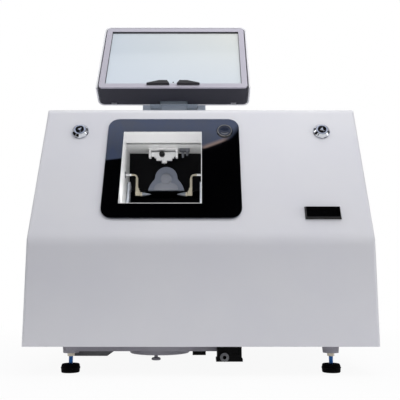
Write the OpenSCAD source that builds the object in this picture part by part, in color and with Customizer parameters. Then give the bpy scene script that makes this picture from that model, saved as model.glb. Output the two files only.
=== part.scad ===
// Bench-top optical lens edger with a tilting screen, in millimetres.
// +Z is up, the front faces -Y, and the origin is on the floor below the middle of the case.

/* [Case] */
// Width of the case over its side walls
body_w = 700; // [600:10:840]
// Depth of the case from the front face to the rear edge of the hood
body_d = 600; // [590:10:720]
// Height of the flat top above the floor
body_top = 576; // [570:2:640]
// Height of the lower edge of the covers above the floor
skirt_z = 57; // [52:1:70]
// Thickness of the moulded covers
wall = 3.5; // [2.5:0.5:4]
// Lean of the sloping front, from the vertical
lean = 21.2; // [18:0.2:24]
// Height at which the upright front and the sloping front would meet
knee_z = 267; // [260:1:275]
// Radius of the bend between the upright front and the sloping front
knee_r = 80; // [40:5:120]
// Radius of the bend between the sloping front and the top
crown_r = 22; // [14:1:30]
// Radius along the side edges of the covers
edge_r = 7; // [5:0.5:9]

/* [Window and fascia] */
// Width of the black fascia
fascia_w = 291; // [270:1:300]
// Height of the black fascia, measured up the slope
fascia_h = 253; // [235:1:255]
// Thickness of the fascia
fascia_t = 4; // [3:0.5:6]
// Corner radius of the fascia
fascia_r = 24; // [12:1:34]
// Outer width of the white window frame
window_w = 176; // [150:1:190]
// Outer height of the white window frame, measured up the slope
window_h = 187; // [160:1:195]
// Depth of the window frame behind the front
window_depth = 37; // [34:1:40]

/* [Controls] */
// Outer diameter of the chrome ring round the start button
button_ring_d = 36; // [30:1:40]
// Diameter of the dished start button
button_d = 26; // [18:1:28]
// Diameter of the chrome cover locks
lock_d = 38; // [30:1:42]
// Width of the code reader bezel
reader_w = 74; // [60:1:90]
// Height of the code reader bezel
reader_h = 28.6; // [22:0.2:34]

/* [Grinding] */
// Diameter of the grinding wheels
wheel_d = 120; // [100:1:124]
// Diameter of the spindle
spindle_d = 20; // [16:1:24]
// Diameter of the pulley on the spindle
spindle_pulley_d = 60; // [45:1:72]
// Diameter of the pulley on the motor
motor_pulley_d = 90; // [60:1:108]
// Diameter of the lens half-shafts
lens_shaft_d = 14; // [11:1:16]
// Diameter of the measuring feeler rods
feeler_d = 5; // [4:0.5:6]

/* [Display] */
// Width of the lit screen
screen_w = 331; // [300:1:345]
// Height of the lit screen
screen_h = 207; // [180:1:215]
// Depth of the display housing at its lower edge
display_t = 58; // [50:1:64]
// Lean of the display from the vertical
display_lean = 29.2; // [20:0.2:35]
// Distance of the display's middle from the middle of the case, negative to the left
display_x = -67; // [-120:1:120]

/* [Feet] */
// Largest diameter of a levelling foot
foot_d = 40; // [32:1:44]
// Diameter of the threaded stud of a foot
stud_d = 8; // [6:1:10]

/* [Hidden] */
$fn = 64;

// Clearances
seat_gap = 0.3;          // between pieces that are bolted or clipped together
run_gap = 0.08;          // radial, between a shaft and its bore
slide_gap = 0.5;         // between a sliding piece and its guide
free_gap = 3;            // between pieces that pass each other

// Faces of the case
front_y = -body_d / 2;
rear_y = body_d / 2;
seam_y = front_y + 150;  // joint between the front cover and the rear hood
seam_gap = 0.8;
far = 2000;              // longer than the whole machine

// Base
base_t = 12;
base_z = skirt_z + 1;
base_top = base_z + base_t;
base_x = body_w / 2 - wall - seat_gap;
belly_drop = 15;         // depth of the base casting's belly below the plate
belly_x0 = -279;
belly_x1 = 90;

// Feet
foot_x = body_w / 2 - 83;
foot_y = body_d / 2 - 70;
rear_foot_x = 95;        // the rear feet stand closer together
foot_places = [[-foot_x, -foot_y], [foot_x, -foot_y], [-rear_foot_x, foot_y], [rear_foot_x, foot_y]];
boss_r = 16;
boss_drop = 19;
boss_z = base_z - boss_drop;
pad_h = 17;
nut_h = 6.5;
nut_af = 13;
nut_z = boss_z - nut_h - seat_gap;
stud_top = base_top + 6;

// Slope frame: features on the sloping front are placed by x and by distance up the slope
window_x = -84.5;
window_s = 171.2;
window_wall = 3;
fascia_x = -60.8;
fascia_s = 171.7;
button_x = 52.6;
button_s = 264.4;
lock_x = body_w / 2 - 81;
lock_s = 266;
reader_x = body_w / 2 - 100;
reader_s = 58.4;

// Shutter
shutter_t = 3.5;
shutter_w = window_w + 20;
shutter_h = window_h + 14;
shutter_z = -window_depth - 1;            // front face of the shutter, behind the slope
shutter_open_x = window_x + window_w / 2 - window_wall + 1;
rail_x0 = window_x - window_w / 2 - 34;
rail_x1 = shutter_open_x + shutter_w + 12;
rail_h = 12;
rail_t = 11;
pinion_teeth = 20;
gear_module = 1;
pinion_r = pinion_teeth * gear_module / 2;
rack_h = 8;
rack_z = shutter_z - shutter_t - 0.2;
rack_t = 4;
pinion_x = shutter_open_x + 6;
pinion_shaft_d = 6;
rail_z = shutter_z + slide_gap + 2.5;     // front face of the rails
chassis_front = rail_z - rail_t - seat_gap;
shutter_motor_d = 34;
shutter_motor_l = 24;
pinion_s = window_s - shutter_h / 2 + 1 - rack_h - pinion_r;

// Chamber
liner_t = 3;
lip_s = 81;                               // chamber's lower lip, up the slope
floor_y = front_y + 120;
floor_z = 303;
tub_floor_z = 150;
sump_x = -90;
sump_y = front_y + 150;
sump_r = 65;
sump_tube_r = sump_r - 15;
chamber_w = window_w + 2;                 // inside width
chamber_x0 = window_x - chamber_w / 2;
chamber_x1 = window_x + chamber_w / 2;
chamber_z = -window_depth - 6.5;          // where the chamber starts, behind the slope
ceiling_z = 495.5;
back_y = front_y + 222;
bay_ceiling_z = 402;
bay_y = front_y + 334;
chassis_gap = 31;                         // between the chamber's side and the chassis plate
chassis_t = 8;
plate_left_x = chamber_x0 - liner_t - chassis_gap - chassis_t + 3.5;
plate_right_x = chamber_x1 + liner_t + chassis_gap - 3.5;

// Spindle
spindle_y = front_y + 255;
spindle_z = 300;
wheel_pack_w = 84;
rough_w = 46;
pulley_w = 24;
motor_y = front_y + 400;
motor_z = 160;
motor_r = 58;
motor_l = 170;
belt_t = 3;
belt_w = 16;

// Lens carriage
pivot_y = front_y + 190;
pivot_z = 404;
lens_y = front_y + 155;
lens_z = 325;
arm_t = 5;
arm_in = chamber_w / 2 - 2 - arm_t;       // arm's inner face from the chamber's middle
stub_r = 9;
lever_in = chamber_w / 2 + liner_t + 4;
lever_t = 12;
beam_y = front_y + 222;
beam_z = 530;
clamp_travel = 30;

// Feelers
feeler_y = front_y + 147;
feeler_z = 427;
feeler_drop = 45;
feeler_arm_x = 62;
feeler_tip_x = 30;

// Drilling unit
drill_x = window_x - 4;
drill_y = front_y + 180;
drill_pivot_z = ceiling_z - 12;
drill_ear_x = 29;

// Display
bezel_side = 14;
bezel_w = screen_w + 2 * bezel_side;
bezel_h = screen_h + 2 * bezel_side;
rim = 6.5;
shell_w = bezel_w + 2 * rim;
display_y = front_y + 172.3;              // lower front edge of the bezel
display_z = 646.5;
bezel_t = 4;
glass_drop = 9;                           // depth of the screen behind the bezel's face
glass_t = 5;
glass_edge = 4.5;                         // width of the screen's edge under the bezel
housing_r = 14;                           // radius of the housing's corners
display_top_t = 34;
hinge_y = front_y + 248;
hinge_z = 622;
hinge_r = 11;
knuckle_w = 26;
neck_w = 157;
neck_block_w = 70;
neck_t = 22;
neck_y = hinge_y;
pin_r = 4;
knuckle_x = 45;
hinge_u = (hinge_y - display_y) * sin(display_lean) + (hinge_z - display_z) * cos(display_lean);
hinge_out = (hinge_z - display_z) * sin(display_lean) - (hinge_y - display_y) * cos(display_lean);

// Basic outlines

function arc_points(centre, r, from, to, steps) = [
    for (i = [0:steps]) let (a = from + (to - from) * i / steps)
        [centre[0] + r * cos(a), centre[1] + r * sin(a)]
];

module round_rect(w, h, r, steps = 6) {
    polygon(concat(
        arc_points([w / 2 - r, h / 2 - r], r, 0, 90, steps),
        arc_points([-w / 2 + r, h / 2 - r], r, 90, 180, steps),
        arc_points([-w / 2 + r, -h / 2 + r], r, 180, 270, steps),
        arc_points([w / 2 - r, -h / 2 + r], r, 270, 360, steps)
    ));
}

// Involute-like tooth outline of a small gear, as straight flanks
module gear_outline(teeth, m) {
    root_r = teeth * m / 2 - 1.2 * m;
    tip_r = teeth * m / 2 + m;
    step = 360 / teeth;
    polygon([
        for (i = [0:teeth - 1], p = [[root_r, -0.36], [root_r, -0.27], [tip_r, -0.1], [tip_r, 0.1],
                                     [root_r, 0.27], [root_r, 0.36]])
            [p[0] * cos((i + p[1]) * step), p[0] * sin((i + p[1]) * step)]
    ]);
}

// Puts the side outline, given as [y, z], across x from x0 to x1
module across(x0, x1) {
    translate([x0, 0, 0]) rotate([90, 0, 90]) linear_extrude(x1 - x0) children();
}

// A cylinder along x
module rod(x0, x1, y, z, r) {
    translate([x0, y, z]) rotate([0, 90, 0]) cylinder(r = r, h = x1 - x0);
}

// Frame of the sloping front: x across, y up the slope, z outwards
module on_slope() {
    translate([0, front_y, knee_z]) rotate([90 - lean, 0, 0]) children();
}

// Point of the slope frame as [y, z] of the machine
function slope_point(s, out) = [
    front_y + s * sin(lean) - out * cos(lean),
    knee_z + s * cos(lean) + out * sin(lean)
];

// Case

knee_centre = [front_y + knee_r, knee_z - knee_r * tan(lean / 2)];
crown_s = (body_top - crown_r + crown_r * sin(lean) - knee_z) / cos(lean);
crown_centre = [front_y + crown_s * sin(lean) + crown_r * cos(lean), body_top - crown_r];

function side_outline(inset, over) = concat(
    [[rear_y + over, skirt_z - over], [front_y + inset, skirt_z - over]],
    arc_points(knee_centre, knee_r - inset, 180, 180 - lean, 6),
    arc_points(crown_centre, crown_r - inset, 180 - lean, 90, 8),
    [[rear_y + over, body_top - inset]]
);

// The whole volume of the case, with its faces moved in by the inset
module case_block(inset, over) {
    half = body_w / 2 - inset;
    r = edge_r - inset * 0.8;
    intersection() {
        across(-half, half) polygon(side_outline(inset, over));
        rotate([90, 0, 0]) translate([0, body_top - inset - far / 2, -far / 2])
            linear_extrude(far) round_rect(2 * half, far, r);
        translate([0, front_y + inset + far / 2, 0]) linear_extrude(far)
            round_rect(2 * half, far, r);
        on_slope() rotate([-90, 0, 0]) translate([0, inset + far / 2, -far / 2])
            linear_extrude(far) round_rect(2 * half, far, r);
    }
}

module case_shell() {
    difference() {
        case_block(0, 0);
        case_block(wall, 5);
    }
}

module front_cover() {
    color("gainsboro") difference() {
        intersection() {
            case_shell();
            translate([-far / 2, front_y - 1, 0]) cube([far, seam_y - front_y + 1, far]);
        }
        on_slope() {
            translate([window_x, window_s, 0])
                cube([window_w + 2 * seat_gap, window_h + 2 * seat_gap, 20], center = true);
            translate([button_x, button_s, -10]) cylinder(d = button_d + 4, h = 20);
            for (side = [-1, 1])
                translate([side * lock_x, lock_s, -10]) cylinder(d = lock_core_d + 2 * run_gap, h = 20);
            translate([reader_x, reader_s, 0])
                cube([reader_w - 8 + 2 * seat_gap, reader_h - 8 + 2 * seat_gap, 20], center = true);
        }
    }
}

vent_rows = 8;
neck_hole_d = 28;

module rear_hood() {
    color("gainsboro") difference() {
        intersection() {
            case_shell();
            translate([-far / 2, seam_y + seam_gap, 0]) cube([far, far, far]);
        }
        translate([display_x, neck_y, body_top - 20]) cylinder(d = neck_hole_d, h = 40);
        // cooling slots low on both sides
        for (row = [0:vent_rows - 1])
            translate([0, rear_y - 150, skirt_z + 60 + row * 14])
                cube([body_w + 20, 90, 5], center = true);
    }
}

rear_plate_y = rear_y - 30;
rear_plate_t = 2.5;
inlet_x = body_w / 2 - 110;
inlet_z = 150;
inlet_w = 50;
inlet_h = 66;
switch_rise = 14;
socket_drop = 15;
drain_x = sump_x;
drain_r = 16;
drain_z = 118;
louvre_rows = 9;

module rear_panel() {
    plate_w = 2 * (body_w / 2 - wall - seat_gap);
    plate_top = body_top - wall - seat_gap;
    color("silver") difference() {
        translate([0, rear_plate_y + rear_plate_t, 0]) rotate([90, 0, 0]) linear_extrude(rear_plate_t)
            intersection() {
                translate([0, plate_top - far / 2]) round_rect(plate_w, far, edge_r - wall * 0.8);
                translate([-plate_w / 2, skirt_z + 2]) square([plate_w, far]);
            }
        translate([inlet_x, rear_plate_y, inlet_z])
            cube([inlet_w - 6 + 2 * seat_gap, 20, inlet_h - 6 + 2 * seat_gap], center = true);
        translate([drain_x, rear_plate_y - 10, drain_z]) rotate([-90, 0, 0])
            cylinder(r = drain_r + seat_gap, h = 20);
        for (side = [-1, 1], row = [0:louvre_rows - 1])
            translate([side * body_w / 4, rear_plate_y, 330 + row * 20])
                cube([150, 20, 6], center = true);
    }
}

base_y0 = front_y + wall + seat_gap;
base_l = rear_plate_y - seat_gap - base_y0;

module base_plate() {
    color("darkgray") difference() {
        union() {
            translate([0, base_y0 + base_l / 2, base_z]) linear_extrude(base_t)
                round_rect(2 * base_x, base_l, edge_r);
            // belly with a sloping right end
            translate([0, rear_y - 120, 0]) rotate([90, 0, 0]) linear_extrude(body_d - 175)
                polygon([[belly_x0, base_z + 1], [belly_x0, base_z - belly_drop],
                         [belly_x1 - 18, base_z - belly_drop], [belly_x1, base_z + 1]]);
            for (place = foot_places) translate([place[0], place[1], boss_z]) cylinder(r1 = boss_r, r2 = boss_r + 2, h = boss_drop + 1);
        }
        for (place = foot_places) translate([place[0], place[1], boss_z - 5]) cylinder(d = stud_d + 2 * run_gap, h = 60);
        // way through for the drain
        translate([sump_x, sump_y, base_z - 40]) cylinder(r = sump_tube_r + free_gap, h = 80);
    }
}

// Feet

module foot(x, y) {
    pad_r = foot_d / 2;
    color("dimgray") translate([x, y, 0]) {
        rotate_extrude() polygon([
            [0, 0], [pad_r - 2.5, 0], [pad_r - 1.5, 1.2], [pad_r - 0.9, pad_h * 0.5],
            [pad_r, pad_h * 0.56], [pad_r - 0.9, pad_h * 0.62], [pad_r - 2.2, pad_h - 1], [pad_r - 3.2, pad_h],
            [0, pad_h]
        ]);
        translate([0, 0, pad_h - 1]) cylinder(d = stud_d, h = stud_top - pad_h + 1);
    }
}

module jam_nuts() {
    color("tan") for (place = foot_places)
        translate([place[0], place[1], nut_z]) difference() {
            intersection() {
                cylinder(d = nut_af / cos(30), h = nut_h, $fn = 6);
                cylinder(r1 = nut_af / 2 + 0.2, r2 = nut_af / 2 + nut_h + 0.2, h = nut_h);
            }
            translate([0, 0, -1]) cylinder(d = stud_d + 2 * run_gap, h = nut_h + 2);
        }
}

// Fascia and window

module fascia() {
    color("black") on_slope() translate([0, 0, seat_gap]) difference() {
        translate([fascia_x, fascia_s, 0]) linear_extrude(fascia_t) round_rect(fascia_w, fascia_h, fascia_r);
        translate([window_x, window_s, 0])
            cube([window_w + 2 * seat_gap, window_h + 2 * seat_gap, 20], center = true);
        translate([button_x, button_s, -1]) cylinder(d = button_d + 4, h = 20);
    }
}

module window_frame() {
    flange = 9;
    color("white") on_slope() translate([window_x, window_s, 0]) difference() {
        union() {
            translate([0, 0, -window_depth]) linear_extrude(window_depth + fascia_t)
                square([window_w, window_h], center = true);
            // flange that clamps behind the cover
            translate([0, 0, -wall - seat_gap - 3]) linear_extrude(3)
                square([window_w + 2 * flange, window_h + 2 * flange], center = true);
        }
        translate([0, 0, -window_depth - 1]) linear_extrude(window_depth + fascia_t + 2)
            square([window_w - 2 * window_wall, window_h - 2 * window_wall], center = true);
    }
}

// Start button

button_out = fascia_t + seat_gap;      // fascia's front face

module button_ring() {
    color("silver") on_slope() translate([button_x, button_s, 0]) {
        difference() {
            union() {
                translate([0, 0, button_out + seat_gap])
                    cylinder(d1 = button_ring_d, d2 = button_ring_d - 3, h = 2.5);
                translate([0, 0, -22]) cylinder(d = button_d + 3, h = 24 + button_out);
                // nut behind the cover
                translate([0, 0, -wall - seat_gap - 5]) cylinder(d = button_d + 10, h = 5, $fn = 6);
            }
            translate([0, 0, -20]) cylinder(d = button_d + 2 * run_gap, h = 60);
        }
    }
}

module start_button() {
    color("darkslateblue") on_slope() translate([button_x, button_s, 0]) difference() {
        translate([0, 0, -15]) cylinder(d = button_d, h = 15 + button_out + 2);
        // finger dish
        translate([0, 0, button_out + 2 + 22]) sphere(r = 24.2);
    }
}

// Quarter-turn cover locks

lock_core_d = 20;
lock_proud = 9;

module lock_escutcheons() {
    color("silver") on_slope() for (side = [-1, 1])
        translate([side * lock_x, lock_s, seat_gap]) difference() {
            rotate_extrude() polygon([
                [lock_core_d / 2 + run_gap, 0], [lock_d / 2, 0], [lock_d / 2, 2],
                [lock_d / 2 - 1.2, 4.2], [lock_d / 2 - 5.5, lock_proud - 0.4], [lock_d / 2 - 6.6, lock_proud],
                [lock_core_d / 2 + run_gap, lock_proud]
            ]);
            // flats round the rim
            for (i = [0:7]) rotate([0, 0, 45 * i + 22.5])
                translate([lock_d / 2 - 0.9, -10, 1]) cube([10, 20, 20]);
        }
}

lock_cam_z = -24;

module lock_core(side) {
    cam_l = 31;
    color("silver") on_slope() translate([side * lock_x, lock_s, 0]) difference() {
        union() {
            translate([0, 0, lock_cam_z]) cylinder(d = lock_core_d, h = lock_proud - 0.8 - lock_cam_z);
            // cam that catches the chassis strip
            translate([-7, -7, lock_cam_z]) cube([14, cam_l + 7, 4]);
        }
        translate([0, 0, lock_proud - 8.8]) cylinder(d = 10 / cos(30), h = 20, $fn = 6);
    }
}

// Code reader

module reader_bezel() {
    inner = 6;
    color("black") on_slope() translate([reader_x, reader_s, 0]) difference() {
        union() {
            // chamfered frame that stands on the cover
            translate([0, 0, seat_gap]) hull() {
                linear_extrude(1) square([reader_w, reader_h], center = true);
                translate([0, 0, 6]) linear_extrude(1) square([reader_w - 5, reader_h - 5], center = true);
            }
            translate([0, 0, -22]) linear_extrude(23) square([reader_w - 8, reader_h - 8], center = true);
        }
        translate([0, 0, -19]) linear_extrude(40)
            square([reader_w - 2 * inner, reader_h - 2 * inner], center = true);
    }
}

module reader_window() {
    inner = 6;
    color("black") on_slope() translate([reader_x, reader_s, 3]) linear_extrude(2)
        square([reader_w - 2 * inner - 2 * seat_gap, reader_h - 2 * inner - 2 * seat_gap], center = true);
}

// Sliding shutter

module shutter_panel() {
    color("lightblue", 0.4) on_slope()
        translate([shutter_open_x, window_s - shutter_h / 2, shutter_z - shutter_t])
            cube([shutter_w, shutter_h, shutter_t]);
}

module shutter_rack() {
    pitch = PI * gear_module;
    teeth = floor((shutter_w - 2) / pitch);
    pitch_line = pinion_s + pinion_r;
    color("dimgray") on_slope() translate([0, 0, rack_z - rack_t]) difference() {
        translate([shutter_open_x, pitch_line - gear_module, 0])
            cube([shutter_w, rack_h + gear_module + 6, rack_t]);
        // gaps between the teeth, one of them centred above a tooth of the pinion
        for (i = [0:teeth]) let (x = pinion_x + (i - 1) * pitch)
            if (x > shutter_open_x - pitch && x < shutter_open_x + shutter_w + pitch)
                translate([x, pitch_line, -1]) linear_extrude(rack_t + 2) polygon([
                    [-1.25, -2], [-1.25, -gear_module], [-0.5, 1.25], [0.5, 1.25], [1.25, -gear_module], [1.25, -2]
                ]);
    }
}

module shutter_pinion() {
    color("goldenrod") on_slope() translate([pinion_x, pinion_s, 0]) {
        translate([0, 0, rack_z - rack_t]) rotate([0, 0, 90]) linear_extrude(rack_t)
            gear_outline(pinion_teeth, gear_module);
        translate([0, 0, rack_z - 1]) cylinder(d = pinion_shaft_d, h = rail_z + shutter_motor_l - 6 - rack_z);
    }
}

module shutter_motor() {
    r = shutter_motor_d / 2;
    color("dimgray") on_slope() translate([pinion_x, pinion_s, rail_z + seat_gap]) difference() {
        union() {
            cylinder(r = r, h = shutter_motor_l);
            linear_extrude(3) round_rect(shutter_motor_d + 22, shutter_motor_d - 8, 6);
        }
        translate([0, 0, -1]) cylinder(d = pinion_shaft_d + 2 * run_gap, h = shutter_motor_l - 3);
    }
}

// Two rails that guide the shutter; the lower one also carries the motor
module shutter_rails() {
    length = rail_x1 - rail_x0;
    plate_t = 2.5;
    top_s = window_s + shutter_h / 2;
    low_s = window_s - shutter_h / 2;
    plate_s = pinion_s - pinion_r - 16;
    color("lightgray") on_slope() {
        difference() {
            translate([rail_x0, top_s - 4, rail_z - rail_t]) cube([length, rail_h, rail_t]);
            translate([rail_x0 - 1, top_s - 5, shutter_z - shutter_t - slide_gap])
                cube([length + 2, 5 + slide_gap, shutter_t + 2 * slide_gap]);
        }
        difference() {
            union() {
                translate([rail_x0, plate_s, rail_z - plate_t]) cube([length, low_s + 4 - plate_s, plate_t]);
                // ledge under the shutter
                translate([rail_x0, low_s - slide_gap - 3, rail_z - plate_t - shutter_t])
                    cube([length, 3, shutter_t + 1]);
                // pads on the front edges of the chassis plates
                for (x = [rail_x0, plate_right_x])
                    translate([x, plate_s, rail_z - rail_t]) cube([chassis_t, 24, rail_t]);
            }
            translate([pinion_x, pinion_s, rail_z - 10]) cylinder(d = pinion_shaft_d + 6, h = 20);
        }
    }
}

// Chassis: two side plates, a bridge for the neck and three tie bars

tie_bars = [[front_y + 90, 120], [motor_y + 58, 240], [bay_y - 24, 440]];

function chassis_outline() = [
    [front_y + 70, base_top + seat_gap],
    slope_point(24, chassis_front),
    slope_point(strip_s + strip_h + 3, chassis_front),
    [neck_y - 46, bridge_z + 8],
    [neck_y + 46, bridge_z + 8],
    [bay_y + 20, bay_ceiling_z],
    [motor_y + 68, motor_z + 90],
    [motor_y + 68, base_top + seat_gap]
];

bridge_z = body_top - 24;
strip_s = lock_s + 17;
strip_h = 17;
strip_l = 2 * lock_x + 50;
bearing_r = spindle_d / 2 + 11;

module chassis() {
    color("slategray") difference() {
        union() {
            for (x = [plate_left_x, plate_right_x]) across(x, x + chassis_t) polygon(chassis_outline());
            translate([plate_left_x, neck_y - 40, bridge_z])
                cube([plate_right_x - plate_left_x + chassis_t, 80, 8]);
            for (bar = tie_bars) rod(plate_left_x + 1, plate_right_x + chassis_t - 1, bar[0], bar[1], 8);
            // strip that the cover locks catch, and its two brackets
            on_slope() {
                translate([-strip_l / 2, strip_s, lock_cam_z + 4 + seat_gap]) cube([strip_l, strip_h, 3]);
                for (x = [plate_left_x, plate_right_x]) translate([x, strip_s, chassis_front - 4])
                    cube([chassis_t, strip_h, lock_cam_z + 7 + seat_gap - chassis_front + 4]);
            }
            // feet of the plates
            for (x = [plate_left_x - 18, plate_right_x + chassis_t - 2])
                translate([x, motor_y - 320, base_top + seat_gap]) cube([20, 380, 8]);
        }
        rod(-far / 2, far / 2, spindle_y, spindle_z, bearing_r + run_gap);
        rod(-far / 2, far / 2, pivot_y, pivot_z, stub_r + run_gap);
        rod(plate_right_x - 1, far / 2, motor_y, motor_z, 26);
        // lightening holes
        rod(-far / 2, far / 2, front_y + 150, 200, 38);
        rod(-far / 2, far / 2, back_y + 46, 470, 26);
        // bolt hole for the neck
        translate([display_x, neck_y, bridge_z - 1]) cylinder(d = 10, h = 20);
    }
}

// Grinding chamber: the front liner and the wheel housing behind and below it share one outline

function chamber_outline(t, front) = [
    slope_point(lip_s - t, front),
    slope_point((ceiling_z + t - knee_z - front * sin(lean)) / cos(lean), front),
    [back_y + t, ceiling_z + t],
    [back_y + t, bay_ceiling_z + t],
    [bay_y + t, bay_ceiling_z + t],
    [bay_y + t, 230],
    [sump_y + sump_tube_r + 40 + t, tub_floor_z - t],
    [sump_y - sump_tube_r - t, tub_floor_z - t],
    [floor_y - t, floor_z - t]
];

module chamber_walls() {
    difference() {
        across(chamber_x0 - liner_t, chamber_x1 + liner_t) polygon(chamber_outline(liner_t, chamber_z));
        across(chamber_x0, chamber_x1) polygon(chamber_outline(0, chamber_z + 6));
    }
}

module through_both_walls(y, z, r) {
    rod(chamber_x0 - 20, chamber_x1 + 20, y, z, r);
}

module chamber_liner() {
    color("white") difference() {
        intersection() {
            chamber_walls();
            translate([-far / 2, -far, floor_z]) cube([far, far + back_y - seat_gap, far]);
        }
        through_both_walls(pivot_y, pivot_z, stub_r + free_gap);
        through_both_walls(feeler_y, feeler_z, guide_r + seat_gap);
    }
}

module wheel_housing() {
    spigot_y = sump_y + sump_tube_r;
    color("dimgray") difference() {
        union() {
            intersection() {
                chamber_walls();
                union() {
                    translate([-far / 2, back_y, 0]) cube([far, far, far]);
                    translate([-far / 2, -far / 2, 0]) cube([far, far, floor_z - seat_gap]);
                }
            }
            translate([sump_x, sump_y, base_z - belly_drop])
                cylinder(r = sump_tube_r, h = tub_floor_z - base_z + belly_drop - 1);
            translate([drain_x, spigot_y - 8, drain_z]) rotate([-90, 0, 0]) cylinder(r = drain_r - 3, h = 38);
            // ears bolted to the chassis plates
            for (side = [-1, 1])
                translate([side < 0 ? plate_left_x + chassis_t + seat_gap : chamber_x1 + 1, bay_y - 40, 372])
                    cube([chassis_gap - 3.5 - seat_gap + liner_t - 1, 36, 22]);
        }
        through_both_walls(spindle_y, spindle_z, spindle_d / 2 + free_gap);
        translate([sump_x, sump_y, 0]) cylinder(r = sump_tube_r - 4, h = tub_floor_z + 1);
        translate([drain_x, sump_y, drain_z]) rotate([-90, 0, 0]) cylinder(r = drain_r - 6, h = 100);
    }
}

// Bell-shaped guard on the back wall, with a raised boss
module wheel_guard() {
    half = 43.5;
    t = 9;
    dome_r = 27;
    dome_z = 31;
    hood_r = 14;
    boss_r = 13.4;
    boss_z = 27.4;
    color("lightsteelblue") translate([window_x + 1, back_y - seat_gap, bay_ceiling_z]) rotate([90, 0, 0]) {
        linear_extrude(t) polygon(concat(
            [[-half, 0], [half, 0], [half - 1.2, 5], [half - 5, 14], [half - 10.5, 22], [half - 15, 27],
             [dome_r + 0.6, 29]],
            arc_points([0, dome_z], dome_r, 2, 178, 18),
            [[-dome_r - 0.6, 29], [15 - half, 27], [10.5 - half, 22], [5 - half, 14], [1.2 - half, 5]]
        ));
        // raised hood over the wheels, with its round boss
        linear_extrude(t + 4) polygon(concat(
            [[2 * hood_r + 0.5, 0]],
            arc_points([hood_r + 0.5, 3.5], hood_r, 0, 88, 8),
            arc_points([0, boss_z], boss_r, -36, 216, 16),
            arc_points([-hood_r - 0.5, 3.5], hood_r, 92, 180, 8),
            [[-2 * hood_r - 0.5, 0]]
        ));
        linear_extrude(t + 6) translate([0, boss_z]) circle(r = boss_r - 2);
        linear_extrude(t + 7) translate([0, boss_z + 1.5]) circle(r = 1.6);
    }
}

// Spindle with its wheels

pack_x = window_x - wheel_pack_w / 2;
flange_t = 8;
pulley_x = chamber_x1 + liner_t + 2;

module turned(x, y, z) {
    translate([x, y, z]) rotate([0, 90, 0]) rotate_extrude() children();
}

module spindle_shaft() {
    x0 = plate_left_x - 3;
    x1 = plate_right_x + chassis_t + 3;
    color("silver") turned(0, spindle_y, spindle_z) polygon([
        [0, x0], [spindle_d / 2 - 1, x0], [spindle_d / 2, x0 + 1], [spindle_d / 2, pack_x - flange_t - 6],
        [spindle_d / 2 + 8, pack_x - flange_t - 2], [spindle_d / 2 + 8, pack_x - seat_gap],
        [spindle_d / 2, pack_x - seat_gap], [spindle_d / 2, x1 - 1], [spindle_d / 2 - 1, x1], [0, x1]
    ]);
}

// Wheel outline: bore, two chamfered edges and, on the finishing wheel, its grooves
module wheel(x0, width, grooves) {
    r = wheel_d / 2;
    r0 = spindle_d / 2 + 0.02;
    turned(x0, spindle_y, spindle_z) polygon(concat(
        [[r0, 0], [r - 18, 0], [r - 18, 1.5], [r - 8, 1.5], [r - 8, 0], [r - 1, 0], [r, 1]],
        [for (g = grooves, p = [[0, -g[1]], [-g[1], 0], [0, g[1]]]) [r + p[0], g[0] + p[1]]],
        [[r, width - 1], [r - 1, width], [r0, width]]
    ));
}

module roughing_wheel() {
    color("darkgray") wheel(pack_x, rough_w, []);
}

module finishing_wheel() {
    width = wheel_pack_w - rough_w - seat_gap;
    color("goldenrod") wheel(pack_x + rough_w + seat_gap, width, [[width * 0.3, 2.2], [width * 0.75, 2.2]]);
}

module pulley(x, y, z, r, bore_r) {
    lip = 2;
    turned(x, y, z) polygon([
        [bore_r, 0], [r + 3, 0], [r + 3, lip], [r - belt_t, lip + 2], [r - belt_t, pulley_w - lip - 2],
        [r + 3, pulley_w - lip], [r + 3, pulley_w], [bore_r, pulley_w]
    ]);
}

module spindle_pulley() {
    color("silver") pulley(pulley_x, spindle_y, spindle_z, spindle_pulley_d / 2, spindle_d / 2 + 0.02);
}

module spindle_bearings() {
    color("lightgray") for (x = [plate_left_x, plate_right_x])
        turned(x + 0.5, spindle_y, spindle_z) polygon([
            [spindle_d / 2 + run_gap, 0], [bearing_r - 1, 0], [bearing_r, 1], [bearing_r, 6],
            [bearing_r - 1, 7], [spindle_d / 2 + run_gap, 7]
        ]);
}

// Motor outside the right chassis plate, with cooling ribs along its barrel
module spindle_motor() {
    x0 = plate_right_x + chassis_t + seat_gap;
    ribs = 20;
    color("dimgray") difference() {
        union() {
            rod(x0 + 8, x0 + motor_l - 12, motor_y, motor_z, motor_r - 6);
            rod(x0 + motor_l - 13, x0 + motor_l, motor_y, motor_z, motor_r - 2);
            translate([x0, motor_y, motor_z]) rotate([90, 0, 90]) linear_extrude(9)
                round_rect(2 * motor_r, 2 * motor_r, 12);
            for (i = [0:ribs - 1]) translate([x0 + 8, motor_y, motor_z]) rotate([i * 360 / ribs, 0, 0])
                translate([0, -1.5, 0]) cube([motor_l - 20, 3, motor_r - 1]);
        }
        rod(x0 - 1, x0 + 50, motor_y, motor_z, motor_shaft_r + run_gap);
    }
}

motor_shaft_r = 9.5;

module motor_pulley() {
    color("silver") {
        pulley(pulley_x, motor_y, motor_z, motor_pulley_d / 2, 1);
        rod(pulley_x + 0.5, plate_right_x + chassis_t + 40, motor_y, motor_z, motor_shaft_r);
    }
}

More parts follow.
